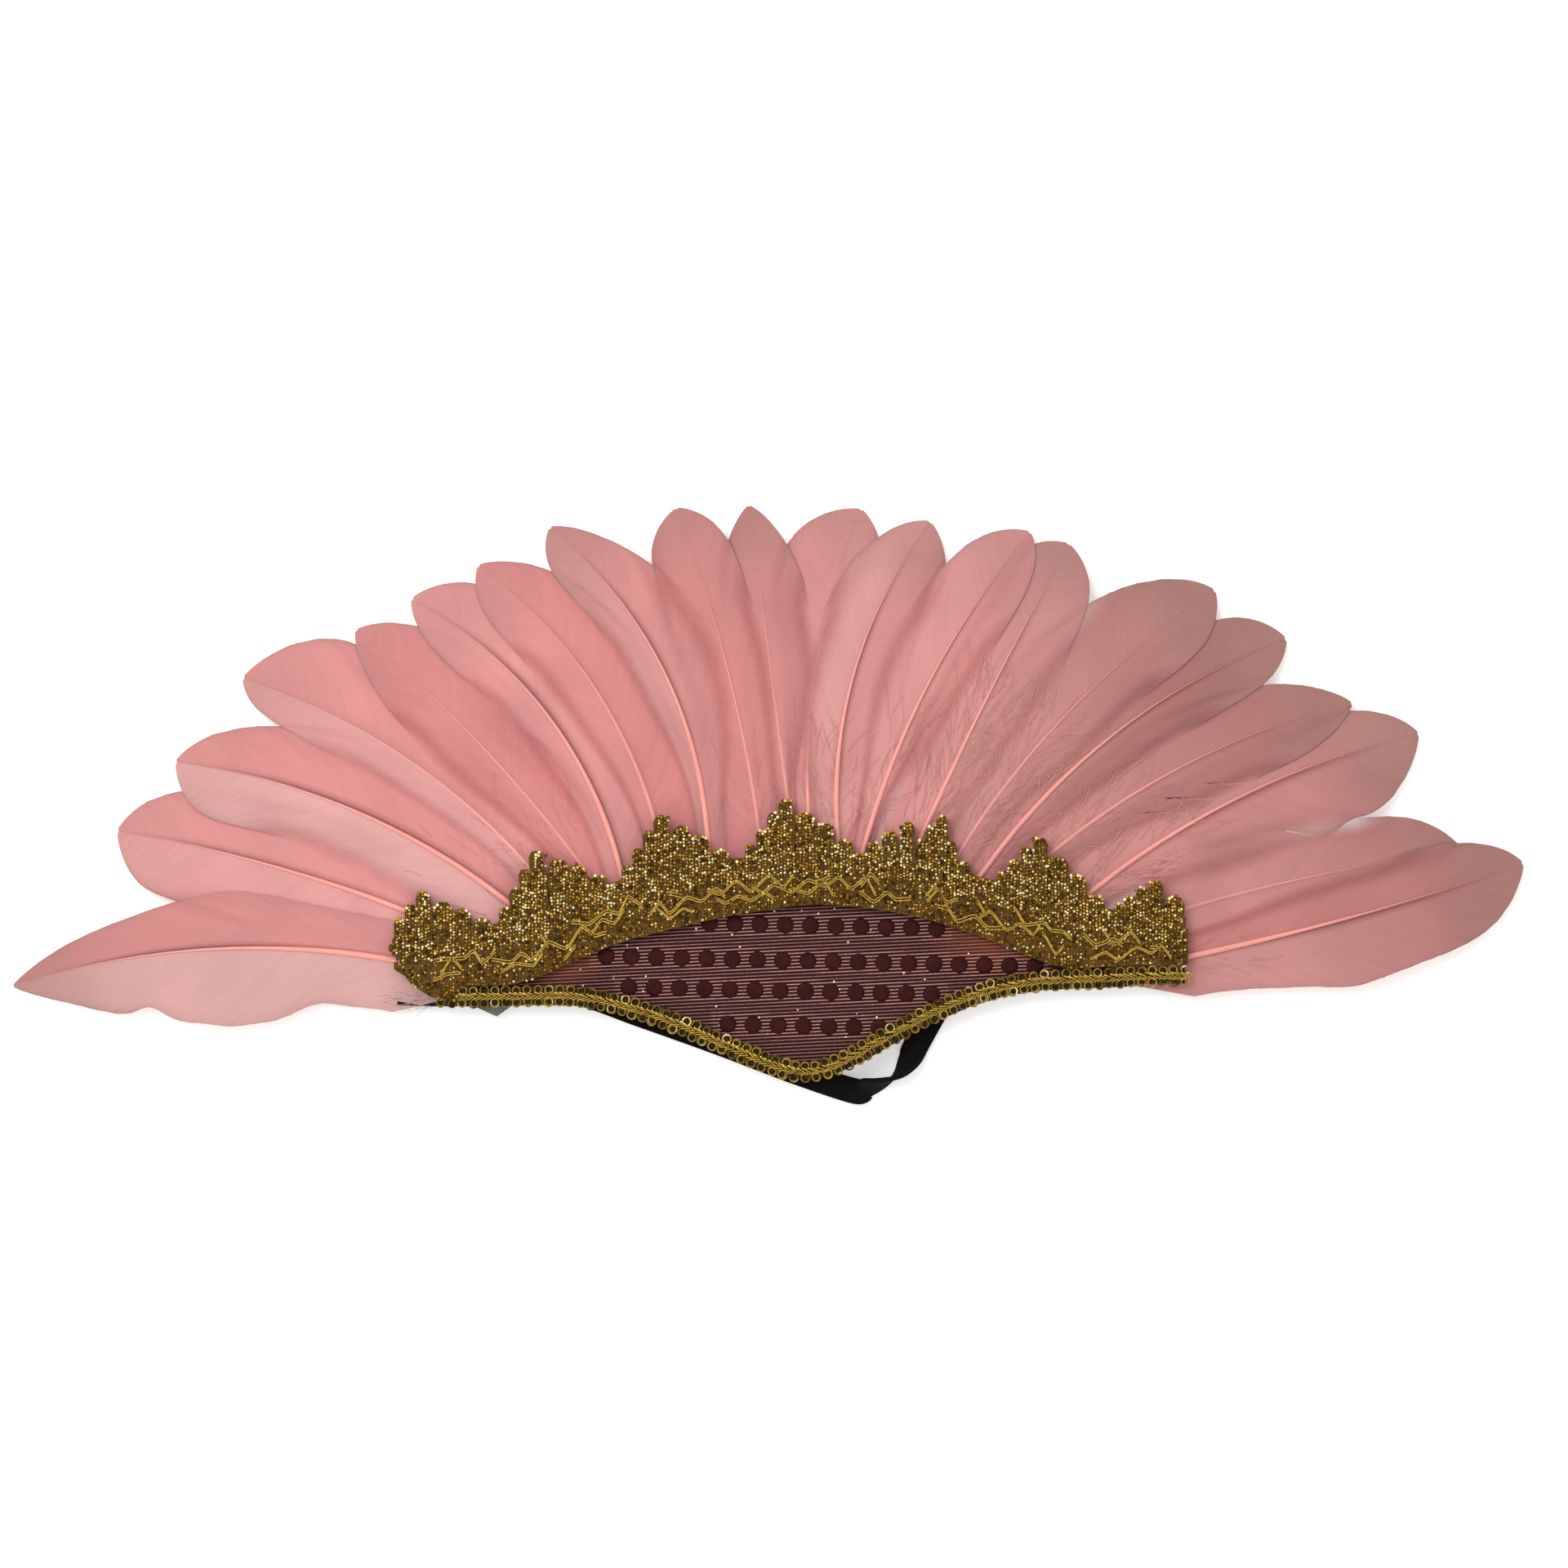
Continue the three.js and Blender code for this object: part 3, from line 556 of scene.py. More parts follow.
def web_arrays(feather, look, number, side):
    """Vertices, faces, tints and barb coordinates of the web on one side of a feather."""
    dice = np.random.default_rng(number * 10 + (side > 0))
    count = int(feather.length * (1 + UNDER_LACE) / BARB_PITCH)
    torn = [
        (round((along - BARBS_FROM) / (BARBS_TO - BARBS_FROM) * (count - 1)), open_from, gap)
        for of, on, along, open_from, gap in TORN_ROWS
        if of == number and on == side
    ]
    fray = smoothed_noise(dice, count, np.ones(FRAY_ROWS) / FRAY_ROWS) * FRAY_CLUMPS
    fray += dice.normal(0, FRAY_SINGLES, count)
    ripple = smoothed_noise(dice, count, np.hanning(RIPPLE_ROWS))
    swell_start = SWELL_SHIFTS[0] * number + SWELL_SHIFTS[1] * side
    lies_over = number not in OUTERMOST or (number, side) == (OUTERMOST[1], 1)
    vertices, tints, places = [], [], []
    for i, start in enumerate(np.linspace(BARBS_FROM, BARBS_TO, count)):
        slant = BARB_SLANT * min(1.0, (1 - start) / SLANT_FADES_OVER)
        for out in WEB_STATIONS:
            along = start + slant * out ** BARB_CURVE
            for at, open_from, gap in torn:
                if out > open_from:
                    near = math.exp(-abs(i - at - 0.5) / TEAR_REACH)
                    pull = (out - open_from) / (1 - open_from) * gap / 2 / feather.length * near
                    along += pull if i > at else -pull
            along = min(along, 1.0)
            swell = EDGE_SWELL * math.sin(2 * math.pi * (SWELLS * along + swell_start))
            reach = out * (1 + FRAY * fray[i] * out ** 3 + swell * out ** 2)
            for of, on, worn_at, depth, reaches in WORN_ROWS:
                if of == number and on == side:
                    dent = depth / 10 * math.exp(-((along - worn_at) / reaches) ** 2)
                    reach -= dent * out ** 3
            droop = WEB_DROOP * out ** 2 - RIPPLE * ripple[i] * out
            vertices.append(feather.point(along, side, reach, droop))
            sheer = 0.0
            if lies_over:
                sheer = smoothstep(out, *SHEER_OUT) * (1 - smoothstep(along, *SHEER_ALONG))
            tints.append((*dyed(look, side, along, out), 1.0 - EDGE_SHEER * sheer))
            width = feather.width(max(0.0, along), side)
            places.append((start * feather.length / 10, side * out * width / 10))
    opened = {at: open_from for at, open_from, gap in torn}
    faces = []
    across = len(WEB_STATIONS)
    for i in range(count - 1):
        for j in range(across - 1):
            if i in opened and WEB_STATIONS[j] >= opened[i]:
                continue
            a, b = i * across + j, (i + 1) * across + j
            faces.append((a, a + 1, b + 1, b) if side < 0 else (a, b, b + 1, a + 1))
    return np.array(vertices), faces, tints, places


def quill_arrays(feather, look):
    """Vertices, faces, tints and coordinates of a feather's quill."""
    web = mixed(PALE_PINK, DEEP_PINK, (look["ccwTone"] + look["cwTone"]) / 2)
    web = mixed(web, GREY_PINK, look["grey"])
    vertices, faces, tints, places = [], [], [], []
    for along in np.linspace(-UNDER_LACE, QUILL_TO, QUILL_STATIONS):
        place, ahead = feather.quill(along)
        left = np.array([-ahead[1], ahead[0]])
        share = max(0.0, along)
        radius = quill_radius_at(share) * mixed(QUILL_SUNK_SIZE, 1.0, look["crisp"])
        raised = radius * mixed(-QUILL_RISE, QUILL_RISE, look["crisp"])
        fresh = mixed(0.35, 1.0, look["crisp"]) * (1 - 0.8 * smoothstep(along, 0.3, 0.75))
        colour = mixed(web, QUILL_PINK, fresh * (1 - 0.3 * look["grey"]))
        colour = mixed(colour, TIP_PINK, 0.6 * smoothstep(along, 0.7, 1.0))
        for k in range(QUILL_SIDES):
            angle = 2 * math.pi * k / QUILL_SIDES
            flat = place + left * radius * math.cos(angle)
            z = feather.height(along) + raised + radius * QUILL_FLATNESS * math.sin(angle)
            vertices.append((flat[0], flat[1], z))
            tints.append((*colour, 1.0))
            places.append((along * feather.length / 10, k * 0.05))
    for r in range(QUILL_STATIONS - 1):
        for k in range(QUILL_SIDES):
            a, b = r * QUILL_SIDES + k, r * QUILL_SIDES + (k + 1) % QUILL_SIDES
            faces.append((a, a + QUILL_SIDES, b + QUILL_SIDES, b))
    last = (QUILL_STATIONS - 1) * QUILL_SIDES
    faces.append(tuple(range(QUILL_SIDES)))
    faces.append(tuple(last + k for k in reversed(range(QUILL_SIDES))))
    return np.array(vertices), faces, tints, places


def tinted_object(name, parts, materials):
    """One mesh of several parts, each with vertices, faces, tints, coordinates and a material number."""
    vertices, faces, tints, places, slots = [], [], [], [], []
    for part_vertices, part_faces, part_tints, part_places, slot in parts:
        start = sum(len(v) for v in vertices)
        vertices.append(part_vertices)
        faces += [tuple(start + c for c in face) for face in part_faces]
        tints += part_tints
        places += part_places
        slots += [slot] * len(part_faces)
    obj = mesh_object(name, np.concatenate(vertices), faces, materials)
    mesh = obj.data
    mesh.polygons.foreach_set("material_index", slots)
    tint = mesh.attributes.new("tint", "FLOAT_COLOR", "POINT")
    tint.data.foreach_set("color", np.array(tints, dtype=np.float32).ravel())
    uv = mesh.uv_layers.new(name="barbs")
    corners = np.empty(len(mesh.loops), dtype=np.int32)
    mesh.loops.foreach_get("vertex_index", corners)
    uv.data.foreach_set("uv", np.array(places, dtype=np.float32)[corners].ravel())
    return obj


def thickened(parts, thickness):
    """A sheet's arrays as a closed thin body: a second layer below and a rim round every free edge."""
    vertices, faces, tints, places = parts
    count = len(vertices)
    below = vertices - np.array([0, 0, thickness])
    edges = dict.fromkeys((a, b) for face in faces for a, b in zip(face, face[1:] + face[:1]))
    rim = [(b, a, a + count, b + count) for (a, b) in edges if (b, a) not in edges]
    under = [tuple(count + c for c in reversed(face)) for face in faces]
    return np.concatenate([vertices, below]), faces + under + rim, tints + tints, places + places


# The feathers lie on one another like shingles: each web's loose edge sinks onto the feathers below it
BOTTOM_TO_TOP = (11, 10, 9, 12, 2, 3, 4, 5, 6, 7, 8, 1, 19, 20, 18, 17, 16, 15, 14, 13)
CLEARANCE = 0.3
SINKS_OVER = (0.1, 0.7)  # shares of the web's width between which it goes from free to lying on the others
MOST_GAP = 6.0
SMOOTHED_ROWS = 17
ABOVE_ALL = 40.0
laid_webs = []


def surface_under(x, y):
    """The height of the uppermost web laid so far at this place, or None."""
    heights = []
    for (x0, y0, x1, y1), tree in laid_webs:
        if x0 < x < x1 and y0 < y < y1:
            hit = tree.ray_cast(Vector((x, y, ABOVE_ALL)), Vector((0, 0, -1)))[0]
            if hit:
                heights.append(hit.z)
    return max(heights, default=None)


def laid_down(vertices):
    """The web's vertices, sunk onto the webs laid so far."""
    grid = vertices.reshape(-1, len(WEB_STATIONS), 3).copy()
    change = np.zeros(grid.shape[:2])
    lowest = np.full(grid.shape[:2], -ABOVE_ALL)
    for i, row in enumerate(grid):
        for j, out in enumerate(WEB_STATIONS):
            under = surface_under(row[j, 0], row[j, 1])
            if under is not None:
                lowest[i, j] = under + CLEARANCE
                gap = row[j, 2] - lowest[i, j]
                sinks = smoothstep(out, *SINKS_OVER) if 0 < gap < MOST_GAP else float(gap < 0)
                change[i, j] = -gap * sinks
    kernel = np.hanning(SMOOTHED_ROWS)
    kernel /= kernel.sum()
    for j in range(len(WEB_STATIONS)):
        change[:, j] = np.convolve(np.pad(change[:, j], SMOOTHED_ROWS // 2, "edge"), kernel, "valid")
    grid[:, :, 2] = np.maximum(grid[:, :, 2] + change, lowest)
    return grid.reshape(-1, 3)


for number in BOTTOM_TO_TOP:
    look = dict(zip(LOOK_COLUMNS, LOOK_ROWS[number - 1]))
    feather = Feather(FEATHER_ROWS[number - 1], look["tucked"])
    webs = []
    for side in (1, -1):
        vertices, *others = web_arrays(feather, look, number, side)
        webs.append((laid_down(vertices), *others))
    for vertices, faces, *_ in webs:
        box = (*vertices[:, :2].min(axis=0), *vertices[:, :2].max(axis=0))
        laid_webs.append((box, BVHTree.FromPolygons(vertices.tolist(), faces)))
    plume = tinted_object(
        f"plume_{number:02d}",
        [(*thickened(web, WEB_THICKNESS), 0) for web in webs] + [(*quill_arrays(feather, look), 1)],
        [feather_web, feather_quill],
    )
    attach(plume, "root")
    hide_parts(f"feather_{number:02d}")

# The down at the roots
# Loose downy barbs curl over the webs from the lace outwards. Each is a single hair-thin barb that starts
# somewhere on the web, and most are on the right half, where the webs were rubbed open.
DOWN_TUFTS = (
    # feather, barbs, share of the quill's length that they cover, longest barb
    (3, 10, 0.3, 9.0),
    (4, 10, 0.25, 9.0),
    (5, 12, 0.2, 8.0),
    (9, 14, 0.2, 8.0),
    (11, 24, 0.25, 10.0),
    (12, 30, 0.3, 10.0),
    (13, 50, 0.4, 12.0),
    (14, 110, 0.5, 13.0),
    (15, 90, 0.42, 12.0),
    (16, 60, 0.34, 10.0),
    (17, 60, 0.36, 11.0),
    (18, 60, 0.36, 12.0),
    (20, 24, 0.2, 9.0),
)
DOWN_SEED = 11
DOWN_STARTS_FROM = -0.02  # share of the quill's length, a little under the lace
DOWN_OUT = 0.7  # share of the web's width within which the barbs start
DOWN_TURN = 0.5  # angles in radians
DOWN_CURL = (0.1, 0.45)
DOWN_LENGTHS = (0.3, 1.0)
DOWN_WIDTHS = (0.6, 1.4)
BARB_WIDTH = 0.085
BARB_THICKNESS = 0.05
BARB_POINTS = 8
OVER_THE_WEBS = 0.1


def down_material(name, scale, dark, light, **settings):
    """Matt down in patches between two colours."""
    material, shader = new_material(name, Roughness=0.8, **settings)
    tree = material.node_tree
    patches = noise_at(tree, object_place(tree), scale)
    tree.links.new(mix_colours(tree, patches, dark, light), shader.inputs["Base Color"])
    return material


pink_down = down_material(
    "pink_down", 160.0, linear(176, 112, 106), linear(226, 166, 158), Sheen_Weight=0.2
)


def ribbon(route, width, thickness, vertices, faces):
    """Adds a flat thread along a route of points in millimetres."""
    route = np.array(route)
    ahead = np.gradient(route, axis=0)
    ahead /= np.linalg.norm(ahead, axis=1)[:, None]
    side = np.stack([-ahead[:, 1], ahead[:, 0], np.zeros(len(route))], axis=1) * width / 2
    up = np.array([0, 0, thickness / 2])
    first = len(vertices)
    for place, out in zip(route, side):
        corners = (place + out + up, place - out + up, place - out - up, place + out - up)
        vertices.extend(tuple(corner) for corner in corners)
    for r in range(len(route) - 1):
        for k in range(4):
            a, b = first + r * 4 + k, first + r * 4 + (k + 1) % 4
            faces.append((a, a + 4, b + 4, b))
    last = first + (len(route) - 1) * 4
    faces.append((first, first + 1, first + 2, first + 3))
    faces.append((last + 3, last + 2, last + 1, last))


down_vertices, down_faces = [], []
down_dice = np.random.default_rng(DOWN_SEED)
for number, barbs, covers, longest in DOWN_TUFTS:
    feather = Feather(FEATHER_ROWS[number - 1], LOOK_ROWS[number - 1][-1])
    for _ in range(barbs):
        side = down_dice.choice((-1, 1))
        start = down_dice.uniform(DOWN_STARTS_FROM, covers)
        x, y, _ = feather.point(start, side, down_dice.uniform(0.0, DOWN_OUT) ** 1.5)
        ax, ay = feather.quill(start)[1]
        heading = math.atan2(ay, ax) + side * down_dice.uniform(0.0, DOWN_TURN)
        curl = side * down_dice.normal(*DOWN_CURL)
        step = longest * down_dice.uniform(*DOWN_LENGTHS) / BARB_POINTS
        route = []
        for t in np.linspace(0, 1, BARB_POINTS):
            under = surface_under(x, y)
            if under is None:
                break
            route.append((x, y, under + OVER_THE_WEBS))
            x += step * math.cos(heading + curl * t)
            y += step * math.sin(heading + curl * t)
        if len(route) == BARB_POINTS:
            width = BARB_WIDTH * down_dice.uniform(*DOWN_WIDTHS)
            ribbon(route, width, BARB_THICKNESS, down_vertices, down_faces)
root_down = mesh_object("root_down", down_vertices, down_faces, [pink_down])
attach(root_down, "root")

# The grey tuft
# A tuft of short undyed grey down, left on the root of the first feather. It sticks out to the left beside
# the lowest corner of the lace.
TUFT_PLACE = (-68.0, -38.6)
TUFT_SPREAD = (2.6, 0.7)
TUFT_BARBS = 34
TUFT_REACH = (2.0, 6.5)
TUFT_TURN = (0.15, 0.35)
TUFT_HEIGHT = 6.6
TUFT_SINKS = 0.12
TUFT_SEED = 4

grey_down = down_material("grey_down", 600.0, linear(84, 72, 68), linear(206, 186, 180))
tuft_vertices, tuft_faces = [], []
tuft_dice = np.random.default_rng(TUFT_SEED)
for _ in range(TUFT_BARBS):
    x, y = tuft_dice.normal(0, 1, 2) * TUFT_SPREAD + TUFT_PLACE
    heading = math.pi + tuft_dice.normal(*TUFT_TURN)
    step = tuft_dice.uniform(*TUFT_REACH) / BARB_POINTS
    route = [
        (x + step * k * math.cos(heading), y + step * k * math.sin(heading), TUFT_HEIGHT - TUFT_SINKS * k)
        for k in range(BARB_POINTS)
    ]
    ribbon(route, BARB_WIDTH, BARB_THICKNESS, tuft_vertices, tuft_faces)
corner_tuft = mesh_object("corner_tuft", tuft_vertices, tuft_faces, [grey_down])
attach(corner_tuft, "root")

# The sequin cloth
# Burgundy lame, woven with a fine pinkish metal thread every seven tenths of a millimetre, and sewn all
# over with flat round sequins of the same colour. It is stretched over the felt, under braid and lace, and
# its lower edge is drawn down to the felt along the hem.
CLOTH_ENDS = (-59.0, 64.0)
CLOTH_TOP = 5.5
CLOTH_THICKNESS = 0.5
CLOTH_DROP = 1.7
CLOTH_DROPS_OVER = (0.8, 2.6)  # distances from the hem
RIB_PITCH = 0.68
RIB_RELIEF = 0.06
RIB_SLOPE = 0.05
CLOTH_COLUMNS = 180
CLOTH_LINES = 210
UNDER_BRAID = 0.8  # how far from the hem the cloth begins, and how far it goes in under the lace
CLOTH_UNDER_LACE = 1.8
DOT_RADIUS = 1.74
DOT_PITCH = 4.97
DOT_RAISE = 0.07
DOT_SLOPE = -0.024
DOT_SIDES = 28
DOT_ROWS = ((-11.6, -23.7, 10), (-32.0, -30.2, 19), (-27.5, -36.3, 13), (-8.0, -43.6, 7))  # x, y, count
DOT_RINGS = ((1.0, -0.1), (0.985, DOT_RAISE), (0.5, DOT_RAISE))  # share of the radius, height
BESIDE_DOTS = (0.62 * DOT_PITCH, 2.3)  # how far from a dot, in x and y, the metal thread is brighter
EYE_CORNERS = ((-41.0, -31.5, 9.0), (45.0, -26.0, 14.0))  # where the cloth shines orange: x, y, reach
SHINE_SQUASH = 1.6  # how much sooner the orange fades in y than in x
SHINE_STRENGTH = 1.4

cloth_paint, cloth_shader = new_material("burgundy_lame", Roughness=0.6, Specular_IOR_Level=0.1)
cloth_tree = cloth_paint.node_tree
cloth_place = object_place(cloth_tree)
cloth_xyz = node(cloth_tree, "ShaderNodeSeparateXYZ", {"Vector": cloth_place})
cloth_x, cloth_y = cloth_xyz.outputs["X"], cloth_xyz.outputs["Y"]
cloth_across = calculate(cloth_tree, "MULTIPLY_ADD", cloth_x, -RIB_SLOPE, cloth_y)
cloth_turn = calculate(cloth_tree, "MULTIPLY", cloth_across, 2 * math.pi / (RIB_PITCH * MM))
cloth_wave = calculate(cloth_tree, "COSINE", cloth_turn)
cloth_rib = calculate(cloth_tree, "MULTIPLY_ADD", cloth_wave, 1.4, -0.4, clamp=True)
cloth_breaks = noise_at(cloth_tree, cloth_place, 1800.0)
cloth_rung = node(cloth_tree, "ShaderNodeAttribute", attribute_name="rung").outputs["Fac"]
cloth_shine = node(cloth_tree, "ShaderNodeAttribute", attribute_name="warm").outputs["Fac"]
cloth_bright = calculate(cloth_tree, "MULTIPLY_ADD", cloth_rung, 0.45, 0.55)
cloth_broken = calculate(cloth_tree, "MULTIPLY_ADD", cloth_breaks, 1.6, 0.2)
cloth_thread = calculate(cloth_tree, "MULTIPLY", cloth_rib, cloth_bright)
cloth_thread = calculate(cloth_tree, "MULTIPLY", cloth_thread, cloth_broken, clamp=True)
# The dark ground turns orange near the eye corners: a painted orange shine
cloth_ground = mix_colours(cloth_tree, cloth_shine, linear(40, 13, 14), linear(90, 40, 15))
cloth_colour = mix_colours(cloth_tree, cloth_thread, cloth_ground, linear(184, 130, 122))
# Painted glints: sparse near-white specks in the colour, where the metal thread would catch the light
cloth_glint = node(cloth_tree, "ShaderNodeTexVoronoi", {"Vector": cloth_place, "Scale": 420.0})
cloth_spark = calculate(cloth_tree, "LESS_THAN", cloth_glint.outputs["Distance"], 0.075)
cloth_colour = mix_colours(cloth_tree, cloth_spark, cloth_colour, linear(250, 238, 230))
cloth_tree.links.new(cloth_colour, cloth_shader.inputs["Base Color"])
add_relief(cloth_tree, cloth_shader, cloth_breaks, 0.4, depth=0.1 * MM)

dot_paint, dot_shader = new_material("burgundy_sequin", Roughness=0.6, Specular_IOR_Level=0.1)
dot_tree = dot_paint.node_tree
dot_crumple = noise_at(dot_tree, object_place(dot_tree), 500.0, detail=3.0)
dot_colour = mix_colours(dot_tree, dot_crumple, linear(26, 5, 5), linear(66, 18, 14))
dot_tree.links.new(dot_colour, dot_shader.inputs["Base Color"])
add_relief(dot_tree, dot_shader, dot_crumple, 0.5)

dot_centres = np.array([
    (x + i * DOT_PITCH, y + i * DOT_PITCH * DOT_SLOPE) for x, y, count in DOT_ROWS for i in range(count)
])


def cloth_height(x, y):
    """The height of the cloth's face, ribbed, and drawn down along the hem."""
    drop = CLOTH_DROP * (1 - smoothstep(y - hem_at(x), *CLOTH_DROPS_OVER))
    return CLOTH_TOP - drop + RIB_RELIEF * math.cos(2 * math.pi * (y - RIB_SLOPE * x) / RIB_PITCH)


cloth_vertices, cloth_rungs, cloth_shine_shares = [], [], []
for x in np.linspace(*CLOTH_ENDS, CLOTH_COLUMNS):
    for y in np.linspace(hem_at(x) + UNDER_BRAID, brow_at(x) + CLOTH_UNDER_LACE, CLOTH_LINES):
        cloth_vertices.append((x, y, cloth_height(x, y)))
        beside = (np.abs(dot_centres - (x, y)) < BESIDE_DOTS).all(axis=1)
        cloth_rungs.append(1.0 if beside.any() else 0.0)
        nearness = [
            1 - math.hypot(x - cx, (y - cy) * SHINE_SQUASH) / reach for cx, cy, reach in EYE_CORNERS
        ]
        cloth_shine_shares.append(min(1.0, SHINE_STRENGTH * max(0.0, *nearness)))
cloth_faces = [
    (a, a + CLOTH_LINES, a + CLOTH_LINES + 1, a + 1)
    for c in range(CLOTH_COLUMNS - 1)
    for a in range(c * CLOTH_LINES, (c + 1) * CLOTH_LINES - 1)
]
cloth_count = len(cloth_vertices)
dot_vertices, dot_faces = [], []
for cx, cy in dot_centres:
    first = cloth_count + len(dot_vertices)
    for share, up in DOT_RINGS:
        for k in range(DOT_SIDES):
            angle = 2 * math.pi * k / DOT_SIDES
            x = cx + DOT_RADIUS * share * math.cos(angle)
            y = cy + DOT_RADIUS * share * math.sin(angle)
            dot_vertices.append((x, y, CLOTH_TOP + up))
    for ring in range(len(DOT_RINGS) - 1):
        for k in range(DOT_SIDES):
            a, b = first + ring * DOT_SIDES + k, first + ring * DOT_SIDES + (k + 1) % DOT_SIDES
            dot_faces.append((a, b, b + DOT_SIDES, a + DOT_SIDES))
    top = first + (len(DOT_RINGS) - 1) * DOT_SIDES
    dot_faces.append(tuple(range(top, top + DOT_SIDES)))
sequin_cloth = mesh_object(
    "sequin_cloth", cloth_vertices + dot_vertices, cloth_faces + dot_faces, [cloth_paint, dot_paint]
)
sequin_cloth.data.polygons.foreach_set("material_index", [0] * len(cloth_faces) + [1] * len(dot_faces))
for name, values in (("rung", cloth_rungs), ("warm", cloth_shine_shares)):
    layer = sequin_cloth.data.attributes.new(name, "FLOAT", "POINT")
    layer.data.foreach_set("value", values + [0.0] * len(dot_vertices))
cloth_wall = sequin_cloth.modifiers.new("cloth thickness", "SOLIDIFY")
cloth_wall.thickness = CLOTH_THICKNESS * MM
cloth_wall.offset = -1
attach(sequin_cloth, "root")
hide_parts("sequin_panel")

# The crown lace
# Gold metallic lace sewn over the feather roots: a dark gauzy ground, closely covered with chains of tiny
# round loops of gold purl. Its upper edge rises in seven crowns of round-ended fingers.
LACE_TOP = 7.4
LACE_ENDS = (-73.7, 82.4)
CROWN_FINGERS = (
    # place along the crown from its peak, height over the valley line, half width
    (-6.9, 2.8, 1.15),
    (-4.7, 5.6, 1.15),
    (-2.5, 8.6, 1.15),
    (0.0, 11.2, 1.4),
    (3.6, 8.3, 2.0),
    (7.5, 6.0, 1.95),
    (11.3, 2.7, 1.9),
)
BENT_FINGERS = (
    (-6.9, 2.9, 1.3),
    (-3.7, 5.6, 1.6),
    (-0.3, 8.0, 1.3),
    (2.9, 5.4, 1.1),
    (4.6, 8.2, 1.2),
    (6.2, 10.6, 1.1),
    (8.1, 6.0, 1.3),
    (10.7, 2.6, 1.7),
)
CROWNS = (
    # x of the peak, share of the full height, fingers
    (-67.8, 0.86, CROWN_FINGERS[1:]),
    (-44.9, 1.07, CROWN_FINGERS),
    (-20.8, 1.02, CROWN_FINGERS),
    (3.5, 1.0, CROWN_FINGERS),
    (27.5, 1.0, BENT_FINGERS),
    (53.0, 0.98, CROWN_FINGERS),
    (75.9, 0.74, CROWN_FINGERS[:-2]),
)
BEAD_PITCH = 0.64
COLUMN_PITCH = 1.24
COLUMN_HALF = 0.3  # each column is two chains side by side
BEAD_RADIUS = 0.31
RIM_BEAD_SIZE = 1.35
BEAD_SEED = 7
FULL_TURN = 6.28
BEAD_INSET = 0.15
TOP_INSET = 0.05
VALLEY_BRIM = 0.2  # how far the lace reaches over the valley line between the fingers
FIRST_BEAD = (0.0, 0.4)
BEAD_STEPS = (0.85, 1.15)
BEAD_SLIPS = (0.08, 0.07)
BEAD_LIFTS = (0.0, 0.4)
BEAD_SIZES = (0.7, 1.15)
BAND_SHARE = 0.6  # the lace's lower, darker band ends at this share of the way to the valley line
BAND_COVER, FINGER_COVER = 0.7, 0.96  # share of the places that have a loop
# Beta spreads of each loop's painted shade or glint, in the band and the fingers; rim loops get more glint
BAND_GLINTS, FINGER_GLINTS = (0.4, 1.2), (0.6, 0.7)
RIM_GLINT = 0.1
RIM_REACH = (0.5, 0.7)
# its lower edge at the left end, where it hangs down to the hem
LACE_CORNER = ((-73.7, -29.0), (-72.4, -32.6), (-70.4, -35.7), (-66.5, -38.2), (-61.0, -39.4))

# Gold thread, for the lace, its loops and the braid: colour and roughness that change from thread to thread,
# the colour going from painted shade through gold to a painted glint
gold_thread = bpy.data.node_groups.new("gold_thread", "ShaderNodeTree")
for direction, kind, sockets in (
    ("INPUT", "Color", ("Shade", "Gold", "Glint")),
    ("INPUT", "Float", ("Share", "Grain")),
    ("OUTPUT", "Color", ("Color",)),
    ("OUTPUT", "Float", ("Roughness", "Height")),
):
    for socket in sockets:
        gold_thread.interface.new_socket(socket, in_out=direction, socket_type=f"NodeSocket{kind}")
gold_in = gold_thread.nodes.new("NodeGroupInput")
gold_out = gold_thread.nodes.new("NodeGroupOutput")
gold_noise = noise_at(gold_thread, object_place(gold_thread), gold_in.outputs["Grain"], detail=3.0)
gold_change = calculate(gold_thread, "SUBTRACT", gold_noise, 0.5)
gold_share = calculate(gold_thread, "ADD", gold_in.outputs["Share"], gold_change)
gold_low = calculate(gold_thread, "MULTIPLY", gold_share, 1.8, clamp=True)
gold_high = calculate(gold_thread, "MULTIPLY_ADD", gold_share, 3.5, -2.4, clamp=True)
gold_colour = mix_colours(gold_thread, gold_low, gold_in.outputs["Shade"], gold_in.outputs["Gold"])
gold_colour = mix_colours(gold_thread, gold_high, gold_colour, gold_in.outputs["Glint"])
gold_thread.links.new(gold_colour, gold_out.inputs["Color"])
gold_roughness = calculate(gold_thread, "MULTIPLY_ADD", gold_share, -0.25, 0.5)
gold_thread.links.new(gold_roughness, gold_out.inputs["Roughness"])
gold_thread.links.new(gold_noise, gold_out.inputs["Height"])


def gold_material(name, shade, gold, glint, grain, metallic, share_attribute=None, share=0.5):
    """Metal thread whose painted shade and glint follow an attribute or one plain share, broken up by its
    grain.
    """
    material, shader = new_material(name, Metallic=metallic, Specular_IOR_Level=0.12)
    tree = material.node_tree
    group = node(tree, "ShaderNodeGroup", node_tree=gold_thread)
    values = {"Shade": shade, "Gold": gold, "Glint": glint, "Grain": grain, "Share": share}
    for socket, value in values.items():
        group.inputs[socket].default_value = value
    if share_attribute:
        source = node(tree, "ShaderNodeAttribute", attribute_name=share_attribute).outputs["Fac"]
        tree.links.new(source, group.inputs["Share"])
    tree.links.new(group.outputs["Color"], shader.inputs["Base Color"])
    tree.links.new(group.outputs["Roughness"], shader.inputs["Roughness"])
    add_relief(tree, shader, group.outputs["Height"], 0.5)
    return material


